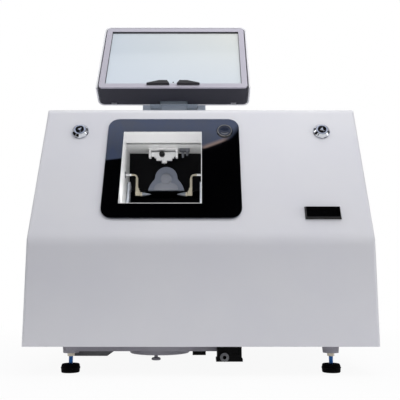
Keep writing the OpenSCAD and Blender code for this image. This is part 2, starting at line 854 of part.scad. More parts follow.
// Flat belt round both pulleys
module drive_belt() {
    dy = motor_y - spindle_y;
    dz = motor_z - spindle_z;
    span = sqrt(dy * dy + dz * dz);
    r1 = spindle_pulley_d / 2 - belt_t + 0.3;
    r2 = motor_pulley_d / 2 - belt_t + 0.3;
    fall = atan2(dz, dy);
    wrap = acos((r1 - r2) / span);
    color("black") translate([pulley_x + (pulley_w - belt_w) / 2, spindle_y, spindle_z])
        rotate([90, 0, 90]) rotate([0, 0, fall]) linear_extrude(belt_w) difference() {
            polygon(concat(arc_points([0, 0], r1 + belt_t, wrap, 360 - wrap, 24),
                           arc_points([span, 0], r2 + belt_t, -wrap, wrap, 24)));
            polygon(concat(arc_points([0, 0], r1 + 0.2, wrap, 360 - wrap, 24),
                           arc_points([span, 0], r2 + 0.2, -wrap, wrap, 24)));
        }
}

// Lens carriage

chuck_face = window_x - 7;                // clamping face of the left chuck
pad_t = 10;
quill_r = lens_shaft_d / 2 + 5;
boss_end = window_x + arm_in - 40;

// Tapered bar between two points of the side view, with round ends
module link(x0, x1, a, b, ra, rb) {
    d = b - a;
    n = [-d[1], d[0]] / norm(d);
    across(x0, x1) {
        translate(a) circle(r = ra);
        translate(b) circle(r = rb);
        polygon([a + 0.85 * ra * n, a - 0.85 * ra * n, b - 0.85 * rb * n, b + 0.85 * rb * n]);
    }
}

module carriage_yoke() {
    pivot = [pivot_y, pivot_z];
    lens = [lens_y, lens_z];
    beam = [beam_y, beam_z];
    color("lightsteelblue") difference() {
        union() {
            for (side = [-1, 1]) {
                arm = window_x + side * (arm_in + arm_t / 2) - arm_t / 2;
                lever = window_x + side * (lever_in + lever_t / 2) - lever_t / 2;
                link(arm, arm + arm_t, pivot, lens, 15, 17);
                link(lever, lever + lever_t, pivot, beam, 14, 11);
                rod(min(arm, lever), max(arm + arm_t, lever + lever_t), pivot_y, pivot_z, stub_r);
            }
            // journals in the chassis plates
            rod(plate_left_x, window_x - arm_in - 1, pivot_y, pivot_z, stub_r);
            rod(window_x + arm_in + 1, plate_right_x + chassis_t, pivot_y, pivot_z, stub_r);
            rod(window_x - lever_in - 1, window_x + lever_in + 1, beam_y, beam_z, 8);
            rod(boss_end, window_x + arm_in + 1, lens_y, lens_z, quill_r + 4);
        }
        rod(window_x - 100, window_x - 20, lens_y, lens_z, lens_shaft_d / 2 + run_gap);
        rod(boss_end - 1, window_x + 100, lens_y, lens_z, quill_r + run_gap);
    }
}

module left_chuck() {
    color("silver") turned(0, lens_y, lens_z) polygon([
        [0, window_x - arm_in - arm_t + 0.5], [lens_shaft_d / 2, window_x - arm_in - arm_t + 0.5],
        [lens_shaft_d / 2, chuck_face - pad_t], [12, chuck_face - pad_t + 3], [12, chuck_face - 2],
        [10, chuck_face], [0, chuck_face]
    ]);
}

module right_chuck() {
    face = chuck_face + 3 + clamp_travel;
    color("silver") turned(0, lens_y, lens_z) polygon([
        [0, face], [10, face], [12, face + 2], [12, face + pad_t - 3], [lens_shaft_d / 2, face + pad_t],
        [lens_shaft_d / 2, window_x + arm_in + arm_t - 3], [0, window_x + arm_in + arm_t - 3]
    ]);
}

module clamp_quill() {
    color("gray") difference() {
        rod(chuck_face + 3 + clamp_travel + pad_t + seat_gap, window_x + arm_in + arm_t,
            lens_y, lens_z, quill_r);
        rod(window_x - 100, window_x + arm_in + arm_t - 2.7, lens_y, lens_z, lens_shaft_d / 2 + run_gap);
    }
}

// Measuring feelers

guide_r = feeler_d / 2 + 5;

feeler_bend = 8;                          // radius of the bend at the top of an arm
feeler_blade_w = 5.2;
feeler_blade_t = 4.4;
feeler_cone_l = 23;
feeler_cone_r = 5;

// Stepped foot of a feeler arm, as [distance from the chamber's middle, height]
function feeler_foot(x, low) = [
    [x + 2.8, low - 3.5], [x + 2.8, low + 18], [x - 2.8, low + 18], [x - 2.8, low + 14], [x - 5, low + 14],
    [x - 5, low + 9.5], [x - 7.4, low + 8], [x - 7.4, low + 3.5], [x - 11, low + 3.5], [x - 11, low - 3.5]
];

module feeler(side) {
    r = feeler_d / 2;
    outer = chassis_gap - 3.5 - free_gap + chamber_w / 2 + liner_t;
    bend_x = feeler_arm_x + feeler_bend;
    color("tan") translate([window_x, feeler_y, feeler_z]) mirror([side < 0 ? 1 : 0, 0, 0]) {
        rod(bend_x, outer, 0, 0, r);
        translate([bend_x, 0, -feeler_bend]) intersection() {
            rotate([90, 0, 0]) rotate_extrude() translate([feeler_bend, 0]) circle(r = r - 0.4);
            translate([-20, -10, 0]) cube([20.4, 20, 20]);
        }
        translate([feeler_arm_x - feeler_blade_w / 2, -feeler_blade_t / 2, -feeler_drop])
            cube([feeler_blade_w, feeler_blade_t, feeler_drop - feeler_bend + 0.6]);
        translate([0, 3, 0]) rotate([90, 0, 0]) linear_extrude(6)
            polygon(feeler_foot(feeler_arm_x, -feeler_drop));
        translate([feeler_tip_x, 0, -feeler_drop]) rotate([0, 90, 0]) rotate_extrude() polygon([
            [0, 0], [0.8, 0.3], [feeler_cone_r, feeler_cone_l - 4], [feeler_cone_r, feeler_cone_l],
            [0, feeler_cone_l]
        ]);
    }
}

module feeler_guides() {
    color("gray") for (side = [-1, 1]) translate([window_x, 0, 0]) mirror([side < 0 ? 1 : 0, 0, 0])
        difference() {
            union() {
                rod(chamber_w / 2 - 1, chamber_w / 2 + liner_t + chassis_gap - 3.5 - 12, feeler_y, feeler_z, guide_r);
                rod(chamber_w / 2 + liner_t + seat_gap, chamber_w / 2 + liner_t + 4, feeler_y, feeler_z,
                    guide_r + 4);
            }
            rod(0, 200, feeler_y, feeler_z, feeler_d / 2 + run_gap);
        }
}

// Drilling unit under the ceiling

drill_pin_r = 3;
drill_r = 6;
drill_drop = 18;

module drill_bracket() {
    color("white") translate([drill_x, drill_y, 0]) difference() {
        union() {
            translate([-drill_ear_x - 5, -14, ceiling_z - 3 - seat_gap]) cube([2 * drill_ear_x + 10, 28, 3]);
            for (x = [-drill_ear_x - 5, drill_ear_x])
                translate([x, -8, drill_pivot_z - 9]) cube([5, 16, ceiling_z - drill_pivot_z + 7]);
        }
        rod(-60, 60, 0, drill_pivot_z, drill_pin_r + run_gap);
    }
}

drill_body = [[46, 12, -9, 7], [37, 11, -15, 6.5]];  // width, depth, bottom and height of each step
drill_nozzle_r = 6.2;
drill_nozzle_z = -21;

module drill_arm() {
    color("white") translate([drill_x, drill_y, drill_pivot_z]) difference() {
        union() {
            rod(-drill_ear_x - 4, drill_ear_x + 4, 0, 0, drill_pin_r);
            rod(-drill_ear_x + 1, drill_ear_x - 1, 0, 0, 6);
            for (step = drill_body)
                translate([2 - step[0] / 2, -step[1] / 2, step[2]]) cube([step[0], step[1], step[3]]);
            translate([2, 0, drill_nozzle_z]) cylinder(r = drill_nozzle_r, h = 3 - drill_nozzle_z);
            // knob
            translate([-3, -5, -2]) rotate([90, 0, 0]) cylinder(r = 6.5, h = 9);
        }
        translate([2, 0, drill_nozzle_z - 1]) cylinder(r = drill_r - 2 + run_gap, h = -drill_nozzle_z - 1);
    }
}

module drill_spindle() {
    color("silver") translate([drill_x + 2, drill_y, drill_pivot_z - drill_drop]) rotate_extrude() polygon([
        [0, -6], [1, -6], [1, 0], [drill_r - 3, 0], [drill_r - 2, 1], [drill_r - 2, drill_drop - 4],
        [0, drill_drop - 4]
    ]);
}

module spray_nozzle() {
    color("gray") translate([window_x + 46, drill_y - 4, 0]) {
        translate([-12, -8, ceiling_z - 6 - seat_gap]) cube([24, 16, 6]);
        translate([-4, 0, ceiling_z - 7]) rotate([25, 0, 0]) translate([0, 0, -14])
            cylinder(r1 = 2.5, r2 = 4, h = 14);
        translate([6, 0, ceiling_z - 7]) rotate([-20, 0, 0]) translate([0, 0, -10])
            cylinder(r1 = 2.5, r2 = 4, h = 10);
    }
}

// Water and drain

module water_valve() {
    x0 = 32;
    front = front_y + 12;
    low = 32.5;
    color("black") {
        difference() {
            union() {
                translate([x0, front, low]) cube([48, 38, base_z - seat_gap - low]);
                translate([x0 - 2, front - 1, low - 5]) cube([52, 40, 5.5]);
                // push-in fitting
                translate([x0 + 14, front + 5, low + 4]) rotate([90, 0, 0]) cylinder(r = 6.5, h = 13);
            }
            translate([x0 + 14, front + 30, low + 4]) rotate([90, 0, 0]) cylinder(r = fitting_r, h = 60);
            translate([x0 + 30, front - 2, low + 8]) cube([14, 4, 12]);
        }
        // clip on the belly
        translate([-17, front_y + 58, base_z - belly_drop - 8]) cube([27, 22, 8 - seat_gap]);
    }
}

fitting_r = 4;

module drain_pipe() {
    y0 = sump_y + sump_tube_r + 8;
    color("dimgray") translate([drain_x, y0, drain_z]) rotate([-90, 0, 0]) difference() {
        union() {
            cylinder(r = drain_r, h = rear_y - 6 - y0);
            translate([0, 0, rear_plate_y + rear_plate_t + seat_gap - y0]) cylinder(r = drain_r + 6, h = 5);
            translate([0, 0, 6]) cylinder(r = drain_r + 2, h = 10);
        }
        translate([0, 0, -1]) cylinder(r = drain_r - 3 + 0.05, h = far);
    }
}

module sump_cover() {
    top = base_z - belly_drop - seat_gap;
    color("lightgray") translate([sump_x, sump_y, 0]) {
        translate([0, 0, top - 11.5]) cylinder(r1 = sump_r - 1.5, r2 = sump_r, h = 1.5);
        translate([0, 0, top - 10]) cylinder(r = sump_r, h = 10);
        // thumbscrew
        translate([-8, 0, 20.5]) cylinder(d = 8, h = top - 30);
        translate([-8, 0, 0]) rotate_extrude() polygon([
            [0, 14.5], [8, 14.5], [10, 15.5], [10, 18.5], [8, 20], [4, 21], [0, 21]
        ]);
    }
}

module drip_tray() {
    top = base_z - belly_drop - seat_gap;
    low = 29.6;
    color("dimgray") translate([0, front_y + 240, 0]) rotate([90, 0, 0]) linear_extrude(148) polygon([
        [-270, top], [-270, low + 2], [-268, low], [-196, low], [-178, top]
    ]);
}

// Electrics

module power_supply() {
    x0 = -base_x + 16;
    w = 96;
    h = 72;
    color("silver") difference() {
        translate([x0, -120, base_top + seat_gap]) cube([w, 220, h]);
        for (row = [0:11]) translate([x0 + 14, -108 + row * 17, base_top + h - 1.5]) cube([w - 28, 6, 5]);
    }
}

module inlet_module() {
    face = rear_plate_y + rear_plate_t + seat_gap;
    color("black") translate([inlet_x, face, inlet_z]) rotate([-90, 0, 0]) difference() {
        union() {
            linear_extrude(2.5) round_rect(inlet_w, inlet_h, 3);
            translate([0, 0, -34]) linear_extrude(35) square([inlet_w - 6, inlet_h - 6], center = true);
        }
        // socket, pin room and the switch's well
        translate([0, socket_drop, -20]) linear_extrude(30)
            square([inlet_socket_w, inlet_socket_h], center = true);
        translate([0, -switch_rise, -16]) linear_extrude(30)
            square([switch_w + 2 * seat_gap, switch_l + 2 * seat_gap], center = true);
    }
}

inlet_socket_w = 27.5;
inlet_socket_h = 19.5;
switch_w = 13;
switch_l = 27;

// Rocker with its lower end pressed in
module power_switch() {
    face = rear_plate_y + rear_plate_t + seat_gap;
    end = switch_l / 2 - 1.5;
    color("dimgray") translate([inlet_x - switch_w / 2, face - 8, inlet_z + switch_rise])
        rotate([90, 0, 90]) linear_extrude(switch_w) polygon([
            [-6, -4], [9, -end], [12, 1 - end], [9.5, 0], [13.5, end - 1], [9, end], [-6, 4]
        ]);
}

// Display

module on_display() {
    translate([display_x, display_y, display_z]) rotate([90 - display_lean, 0, 0]) children();
}

// Side outline of the display as [height, depth behind the bezel's face]
function display_side(i) = [
    [-5, i > 0 ? 5 : -1],
    [bezel_h + rim - i, i > 0 ? 5 : -1],
    [bezel_h + rim - i, -9],
    [bezel_h + rim - 7 - i, -display_top_t + 10 + i],
    [bezel_h + rim - 22 - i, -display_top_t + i],
    [52, -display_t + i],
    [-5, -display_t + i]
];

// Plan of the display housing, its rear corners rounded
function display_plan(i) = let (w = shell_w / 2 - i, r = housing_r - i / 2) concat(
    [[w, 5], [-w, 5]],
    arc_points([r - w, r - display_t + i], r, 180, 270, 6),
    arc_points([w - r, r - display_t + i], r, 270, 360, 6)
);

// Volume of the display housing with its outer faces moved in by i, cut off at the height low
module display_block(i, low) {
    height = bezel_h + rim;
    intersection() {
        translate([-shell_w, 0, 0]) rotate([90, 0, 90]) linear_extrude(2 * shell_w) polygon(display_side(i));
        translate([0, height + 10, 0]) rotate([90, 0, 0]) linear_extrude(height + 20) polygon(display_plan(i));
        translate([0, height / 2 - 20, -100]) linear_extrude(200)
            round_rect(shell_w - 2 * i, height + 40 - 2 * i, housing_r);
        translate([-far / 2, low, -far / 2]) cube([far, far, far]);
    }
}

chin_t = 3;

module display_shell() {
    color("white") on_display() difference() {
        union() {
            difference() {
                display_block(0, 0);
                display_block(3.5, -10);
                translate([0, bezel_h / 2 - 10 + seat_gap / 2, -bezel_t - 2])
                    linear_extrude(20) round_rect(bezel_w + 2 * seat_gap, bezel_h + 20 + seat_gap, 9);
            }
            for (side = [-1, 1]) translate([side * knuckle_x - knuckle_w / 2, hinge_u, hinge_out]) {
                translate([0, -hinge_r, 0]) cube([knuckle_w, 2 * hinge_r, -hinge_out - display_t + 2]);
                rotate([0, 90, 0]) cylinder(r = hinge_r, h = knuckle_w);
            }
        }
        translate([-200, hinge_u, hinge_out]) rotate([0, 90, 0]) cylinder(r = pin_r + run_gap, h = 400);
    }
}

module display_chin() {
    notch = 14;
    color("midnightblue") on_display() difference() {
        intersection() {
            display_block(3.5 + seat_gap, 0);
            translate([-bezel_w / 2, 0, -display_t]) cube([bezel_w, chin_t, display_t - bezel_t - seat_gap]);
        }
        for (side = [-1, 1]) translate([side * (bezel_w / 2 - 32) - notch / 2, -1, -display_t])
            cube([notch, 20, 9]);
        translate([-34, -1, -display_t]) cube([68, 20, 14]);
    }
}

module display_bezel() {
    lip = glass_edge + 0.5;
    skirt = glass_drop + 3;
    color("thistle") on_display() translate([0, bezel_h / 2, 0]) difference() {
        union() {
            translate([0, 0, -bezel_t]) linear_extrude(bezel_t) round_rect(bezel_w, bezel_h, 9);
            // deep inner edge, which ends in a rebate for the screen
            translate([0, 0, -skirt]) linear_extrude(skirt - 1)
                square([screen_w + 2 * lip + 6, screen_h + 2 * lip + 6], center = true);
        }
        translate([0, 0, -far / 2]) linear_extrude(far) square([screen_w, screen_h], center = true);
        translate([0, 0, -skirt - 1]) linear_extrude(skirt - glass_drop + 1)
            square([screen_w + 2 * lip, screen_h + 2 * lip], center = true);
    }
}

module screen_glass() {
    color("lightsteelblue") on_display() translate([0, bezel_h / 2, -glass_drop - seat_gap - glass_t])
        linear_extrude(glass_t)
            square([screen_w + 2 * glass_edge, screen_h + 2 * glass_edge], center = true);
}

module rest_clips() {
    color("black") on_display() for (side = [-1, 1]) mirror([side < 0 ? 1 : 0, 0, 0])
        translate([9, 6.5, seat_gap]) linear_extrude(6) polygon([
            [0, 2], [6, 13], [25, 13], [55, 3.5], [55, 2]
        ]);
}

module tilt_pin() {
    color("silver") rod(display_x - neck_w / 2 + 2, display_x + neck_w / 2 - 2, hinge_y, hinge_z, pin_r);
}

module display_neck() {
    top = body_top + seat_gap;
    beam_z0 = hinge_z - hinge_r - 12;
    slot = knuckle_w + 2 * slide_gap;
    color("lightslategray") translate([display_x, 0, 0]) difference() {
        union() {
            translate([-60, neck_y - 30, top]) cube([120, 66, 5]);
            translate([0, neck_y, bridge_z + 8 + seat_gap])
                cylinder(d = neck_hole_d - 1, h = top - bridge_z - 8);
            translate([-neck_block_w / 2, neck_y - neck_t / 2, top])
                cube([neck_block_w, neck_t, beam_z0 - top + 4]);
            translate([-neck_w / 2, neck_y - hinge_r, beam_z0]) cube([neck_w, 2 * hinge_r, hinge_z - beam_z0]);
            rod(-neck_w / 2, neck_w / 2, hinge_y, hinge_z, hinge_r);
        }
        for (side = [-1, 1])
            rod(side * knuckle_x - slot / 2, side * knuckle_x + slot / 2, hinge_y, hinge_z, hinge_r + 4);
        rod(-neck_w, neck_w, hinge_y, hinge_z, pin_r + run_gap);
    }
}

base_plate();
front_cover();
rear_hood();
rear_panel();
fascia();
window_frame();
display_neck();
display_shell();
display_chin();
display_bezel();
screen_glass();
rest_clips();
tilt_pin();
start_button();
button_ring();
lock_escutcheons();
lock_core(-1);  // lock_core_left
lock_core(1);  // lock_core_right
reader_bezel();
reader_window();
shutter_panel();
shutter_rack();
shutter_rails();
shutter_motor();
shutter_pinion();
chassis();
chamber_liner();
wheel_housing();
wheel_guard();
spindle_shaft();
roughing_wheel();
finishing_wheel();
spindle_pulley();
spindle_bearings();
spindle_motor();
motor_pulley();
drive_belt();
carriage_yoke();
left_chuck();
clamp_quill();
right_chuck();
feeler(-1);  // feeler_left
feeler(1);  // feeler_right
feeler_guides();
drill_bracket();
drill_arm();
drill_spindle();
spray_nozzle();
water_valve();
drain_pipe();
sump_cover();
drip_tray();
power_supply();
inlet_module();
power_switch();
foot(-foot_x, -foot_y);  // foot_front_left
foot(foot_x, -foot_y);  // foot_front_right
foot(-rear_foot_x, foot_y);  // foot_rear_left
foot(rear_foot_x, foot_y);  // foot_rear_right
jam_nuts();
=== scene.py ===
"""Looks of a bench-top optical lens edger: finishes, small fittings, studio and camera."""

import logging
import math
from collections.abc import Callable, Iterator, Sequence
from contextlib import contextmanager
from dataclasses import dataclass
from enum import Enum

import bmesh
import bpy
from mathutils import Euler, Matrix, Vector


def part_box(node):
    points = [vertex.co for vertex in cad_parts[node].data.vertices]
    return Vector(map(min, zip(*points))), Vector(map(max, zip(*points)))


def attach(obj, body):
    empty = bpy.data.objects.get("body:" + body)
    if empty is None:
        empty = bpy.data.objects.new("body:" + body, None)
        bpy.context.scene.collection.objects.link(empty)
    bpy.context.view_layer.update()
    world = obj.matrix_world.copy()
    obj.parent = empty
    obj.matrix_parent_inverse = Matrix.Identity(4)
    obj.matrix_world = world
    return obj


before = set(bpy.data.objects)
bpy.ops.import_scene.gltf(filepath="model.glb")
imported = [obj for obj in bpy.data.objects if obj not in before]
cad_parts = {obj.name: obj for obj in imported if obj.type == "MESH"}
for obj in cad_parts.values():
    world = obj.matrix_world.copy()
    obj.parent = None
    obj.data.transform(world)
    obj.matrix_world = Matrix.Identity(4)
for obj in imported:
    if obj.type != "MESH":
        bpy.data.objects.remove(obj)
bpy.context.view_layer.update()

MM = 0.001
LOG = logging.getLogger("lens_edger")
Colour = tuple[float, float, float]
Triple = tuple[float, float, float]
Pair = tuple[float, float]
Socket = bpy.types.NodeSocket
Material = bpy.types.Material
Piece = bpy.types.Object
Face = bmesh.types.BMFace
Term = Socket | float | Sequence[float]


def shade(*parts: float) -> Colour:
    """Turns a colour as the eye sees it on a screen into the linear one a shader takes.

    Args:
        parts: Red, green and blue from 0 to 255.

    Returns:
        The linear colour, each part from 0 to 1.
    """
    return tuple(part / 255 / 12.92 if part / 255 <= 0.04045 else ((part / 255 + 0.055) / 1.055) ** 2.4
                 for part in parts)


def facing(origin: Triple, out: Triple, up: Triple) -> Matrix:
    """Builds the place of something that lies on a face.

    Args:
        origin: Point on the face, in millimetres.
        out: Direction away from the face, which becomes the local Z.
        up: Direction that becomes the local Y once it is square to out.

    Returns:
        The matrix from the local place, in metres, to the frame.
    """
    local_z = Vector(out).normalized()
    local_x = Vector(up).cross(local_z).normalized()
    local_y = local_z.cross(local_x)
    turn = Matrix((local_x, local_y, local_z)).transposed().to_4x4()
    return Matrix.Translation(Vector(origin) * MM) @ turn


def spot(place: Matrix, x: float, y: float, z: float = 0.0) -> Matrix:
    """Gives the place of a point in another place's axes, in millimetres."""
    return place @ Matrix.Translation(Vector((x, y, z)) * MM)


def span(node: str, place: Matrix) -> tuple[Vector, Vector]:
    """Measures a CAD node along the axes of a place.

    Args:
        node: Name of the CAD node.
        place: Matrix from that place to the frame.

    Returns:
        Lowest and highest corner in the place's own axes, in millimetres.
    """
    back = place.inverted()
    points = [back @ vertex.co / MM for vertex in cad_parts[node].data.vertices]
    low = Vector([min(point[axis] for point in points) for axis in range(3)])
    high = Vector([max(point[axis] for point in points) for axis in range(3)])
    return low, high


# The leaning front, the display and the rear panel each have a place, in whose axes their pieces are set.
LEAN = math.radians(21.2)
TILT = math.radians(29.2)
HINGE_X = -67.0
WINDOW_X = -84.5
BUTTON_PLACE = (52.6, 264.4, 0.0)
KNOB_PLACE = (-91.5, 0.0, 481.5)
SLOPE = facing((0, -300, 267), (0, -math.cos(LEAN), math.sin(LEAN)), (0, math.sin(LEAN), math.cos(LEAN)))
DISPLAY = facing((HINGE_X, -127.7, 646.5), (0, -math.cos(TILT), math.sin(TILT)),
                 (0, math.sin(TILT), math.cos(TILT)))
REAR = facing((0, 272.5, 0), (0, 1, 0), (0, 0, 1))


class Texture(Enum):
    """Ways a surface can be worked."""

    LACQUER = "sprayed lacquer with a faint orange peel"
    MOULDED = "moulded plastic with a fine spark grain"
    CAST = "sand cast metal"
    BRUSHED = "metal with drawn lines"
    TURNED = "metal turned or ground round its axis"
    GRIT = "bonded abrasive"
    RUBBER = "moulded rubber"
    POLISHED = "polished surface with faint wipe marks"


# How far a pattern is drawn out along each axis, and how many clouds and wipe marks there are to a metre.
STRETCH = {Texture.BRUSHED: (0.03, 1, 1), Texture.TURNED: (1, 0.02, 0.02)}
WIPED = (1, 1, 0.35)
CLOUDS_PER_METRE = 7.0
WIPES_PER_METRE = 22.0


class NodeSheet:
    """Node tree of one finish, with short calls for the nodes that the finishes use."""

    def __init__(self, name: str, base: Material | None = None) -> None:
        """Starts the material with its shader.

        Args:
            name: Name of the material.
            base: Material that it starts as a copy of.
        """
        if base is None:
            self.material = bpy.data.materials.new(name)
            self.material.use_nodes = True
        else:
            self.material = base.copy()
            self.material.name = name
        self.tree = self.material.node_tree
        self.shader = self.tree.nodes["Principled BSDF"]
        self.place = self.tree.nodes.new("ShaderNodeTexCoord").outputs["Object"]

    def fill(self, entry: Socket, term: Term) -> None:
        """Links a socket to a node's input, or sets the input to a constant.

        Args:
            entry: The input.
            term: The socket or the constant.
        """
        if isinstance(term, Socket):
            self.tree.links.new(term, entry)
        else:
            entry.default_value = term

    def add(self, kind: str, *terms: Term, **named: Term) -> bpy.types.Node:
        """Adds a node.

        Args:
            kind: The node's type.
            terms: Sockets or constants for its inputs, in their order.
            named: Sockets or constants by the input's name, with _ for a space.

        Returns:
            The node.
        """
        node = self.tree.nodes.new(kind)
        for entry, term in zip(node.inputs, terms):
            self.fill(entry, term)
        for name, term in named.items():
            self.fill(node.inputs[name.replace("_", " ")], term)
        return node

    def dress(self, **named: Term) -> None:
        """Links or sets inputs of the material's shader, by name with _ for a space."""
        for name, term in named.items():
            self.fill(self.shader.inputs[name.replace("_", " ")], term)

    def reckon(self, operation: str, *terms: Term, vector: bool = False) -> Socket:
        """Adds a step of arithmetic.

        Args:
            operation: What is done with the terms.
            terms: Sockets or constants, in the order of the node's inputs.
            vector: Whether the terms are vectors.

        Returns:
            The result.
        """
        node = self.add("ShaderNodeVectorMath" if vector else "ShaderNodeMath", *terms)
        node.operation = operation
        return node.outputs["Vector" if vector and operation not in ("LENGTH", "DISTANCE") else "Value"]

    def product(self, *factors: Socket) -> Socket:
        """Multiplies patterns with each other, so that what all of them show is left.

        Args:
            factors: The patterns.

        Returns:
            Their product.
        """
        result, *others = factors
        for factor in others:
            result = self.reckon("MULTIPLY", result, factor)
        return result

    def axes(self) -> Sequence[Socket]:
        """Gives the place's X, Y and Z apart."""
        return self.add("ShaderNodeSeparateXYZ", self.place).outputs

    def off(self, coordinate: Socket, middle: float) -> Socket:
        """Gives how far a coordinate is from a middle, which is in millimetres."""
        return self.reckon("ABSOLUTE", self.reckon("SUBTRACT", coordinate, middle * MM))

    def mapped(self, scale: Triple) -> Socket:
        """Gives the place stretched by a scale along each axis."""
        return self.add("ShaderNodeMapping", self.place, Scale=scale).outputs["Vector"]

    def noise(self, vector: Socket, scale: float, detail: float = 3.0) -> Socket:
        """Gives a soft random pattern with the given number of cells to a metre."""
        return self.add("ShaderNodeTexNoise", vector, Scale=scale, Detail=detail).outputs["Fac"]

    def cells(self, scale: float) -> Socket:
        """Gives the distance to the middle of each grain, with that many grains to a metre."""
        return self.add("ShaderNodeTexVoronoi", self.place, Scale=scale).outputs["Distance"]

    def ranged(self, fac: Socket, low: float, high: float, start: float = 0.3, end: float = 0.7) -> Socket:
        """Maps a pattern to a range of values.

        Args:
            fac: The pattern.
            low: Value where the pattern is at start.
            high: Value where the pattern is at end.
            start: Lowest value read from the pattern.
            end: Highest value read from the pattern.

        Returns:
            The mapped value.
        """
        return self.add("ShaderNodeMapRange", fac, start, end, low, high).outputs["Result"]

    def past(self, value: Socket, edge: float, blur: float) -> Socket:
        """Gives 0 before an edge and 1 past it, with the edge and its blur in millimetres."""
        return self.ranged(value, 0, 1, (edge - blur / 2) * MM, (edge + blur / 2) * MM)

    def before(self, value: Socket, edge: float, blur: float) -> Socket:
        """Gives 1 before an edge and 0 past it, with the edge and its blur in millimetres."""
        return self.ranged(value, 1, 0, (edge - blur / 2) * MM, (edge + blur / 2) * MM)

    def blend(self, fac: Socket, first: Colour | Socket, second: Colour | Socket) -> Socket:
        """Mixes two colours by a pattern.

        Args:
            fac: The pattern, 0 for the first colour.
            first: A colour, or the socket that gives one.
            second: The other colour, likewise.

        Returns:
            The mixed colour.
        """
        node = self.tree.nodes.new("ShaderNodeMix")
        node.data_type = "RGBA"
        for entry, term in ((0, fac), (6, first), (7, second)):
            self.fill(node.inputs[entry], (*term, 1) if isinstance(term, tuple) else term)
        return node.outputs[2]

    def relief(self, height: Socket, depth: float) -> None:
        """Gives the surface the height pattern, as deep as given in millimetres."""
        self.dress(Normal=self.add("ShaderNodeBump", Height=height, Distance=depth * MM).outputs["Normal"])

    def grained(self, pattern: Socket, rough: Pair, depth: float) -> None:
        """Gives the surface a pattern both as its roughness and as its relief."""
        self.dress(Roughness=self.ranged(pattern, *rough))
        self.relief(pattern, depth)

    def show(self, output: Socket) -> None:
        """Makes the surface show another shader than its own."""
        self.tree.links.new(output, self.tree.nodes["Material Output"].inputs["Surface"])


@dataclass(frozen=True)
class Finish:
    """One finish of the machine: its colours, gloss and how the surface is worked."""

    slot: str
    colour: Triple
    drift: Triple
    rough: Pair
    texture: Texture
    grain: float = 1.0
    depth: float = 0.01
    metal: float = 0.0
    coat: float = 0.0
    coat_rough: float = 0.05
    clear: float = 0.0
    shine: float = 0.5
    tint: Colour = (1.0, 1.0, 1.0)
    index: float = 1.5

    def build(self) -> Material:
        """Makes the material.

        Returns:
            The material with its node tree.
        """
        sheet = NodeSheet("finish_" + self.slot)
        main, drift = shade(*self.colour), shade(*self.drift)
        cloud = sheet.noise(sheet.place, CLOUDS_PER_METRE)
        colour = sheet.blend(sheet.ranged(cloud, 0, 1), main, drift)
        per_metre = 1 / (self.grain * MM)
        if self.texture in STRETCH:
            fine = sheet.noise(sheet.mapped(STRETCH[self.texture]), per_metre, 2)
        elif self.texture is Texture.GRIT:
            fine = sheet.cells(per_metre)
            sparkle = tuple(part * 1.9 for part in drift)
            colour = sheet.blend(sheet.ranged(fine, 0.5, 0, 0.1, 0.5), colour, sparkle)
        elif self.texture is Texture.CAST:
            fine = sheet.noise(sheet.place, per_metre, 5)
            pit = tuple(part * 0.6 for part in main)
            colour = sheet.blend(sheet.ranged(fine, 0.35, 0), colour, pit)
        else:
            fine = sheet.noise(sheet.place, per_metre, 2)
        wiped = sheet.noise(sheet.mapped(WIPED), WIPES_PER_METRE, 4)
        gloss = wiped if self.texture in (Texture.LACQUER, Texture.POLISHED) else fine
        sheet.relief(fine, self.depth)
        sheet.dress(Base_Color=colour, Roughness=sheet.ranged(gloss, *self.rough), Metallic=self.metal,
                    Specular_IOR_Level=self.shine, Specular_Tint=(*self.tint, 1), IOR=self.index,
                    Coat_Weight=self.coat, Coat_Roughness=self.coat_rough, Transmission_Weight=self.clear)
        return sheet.material


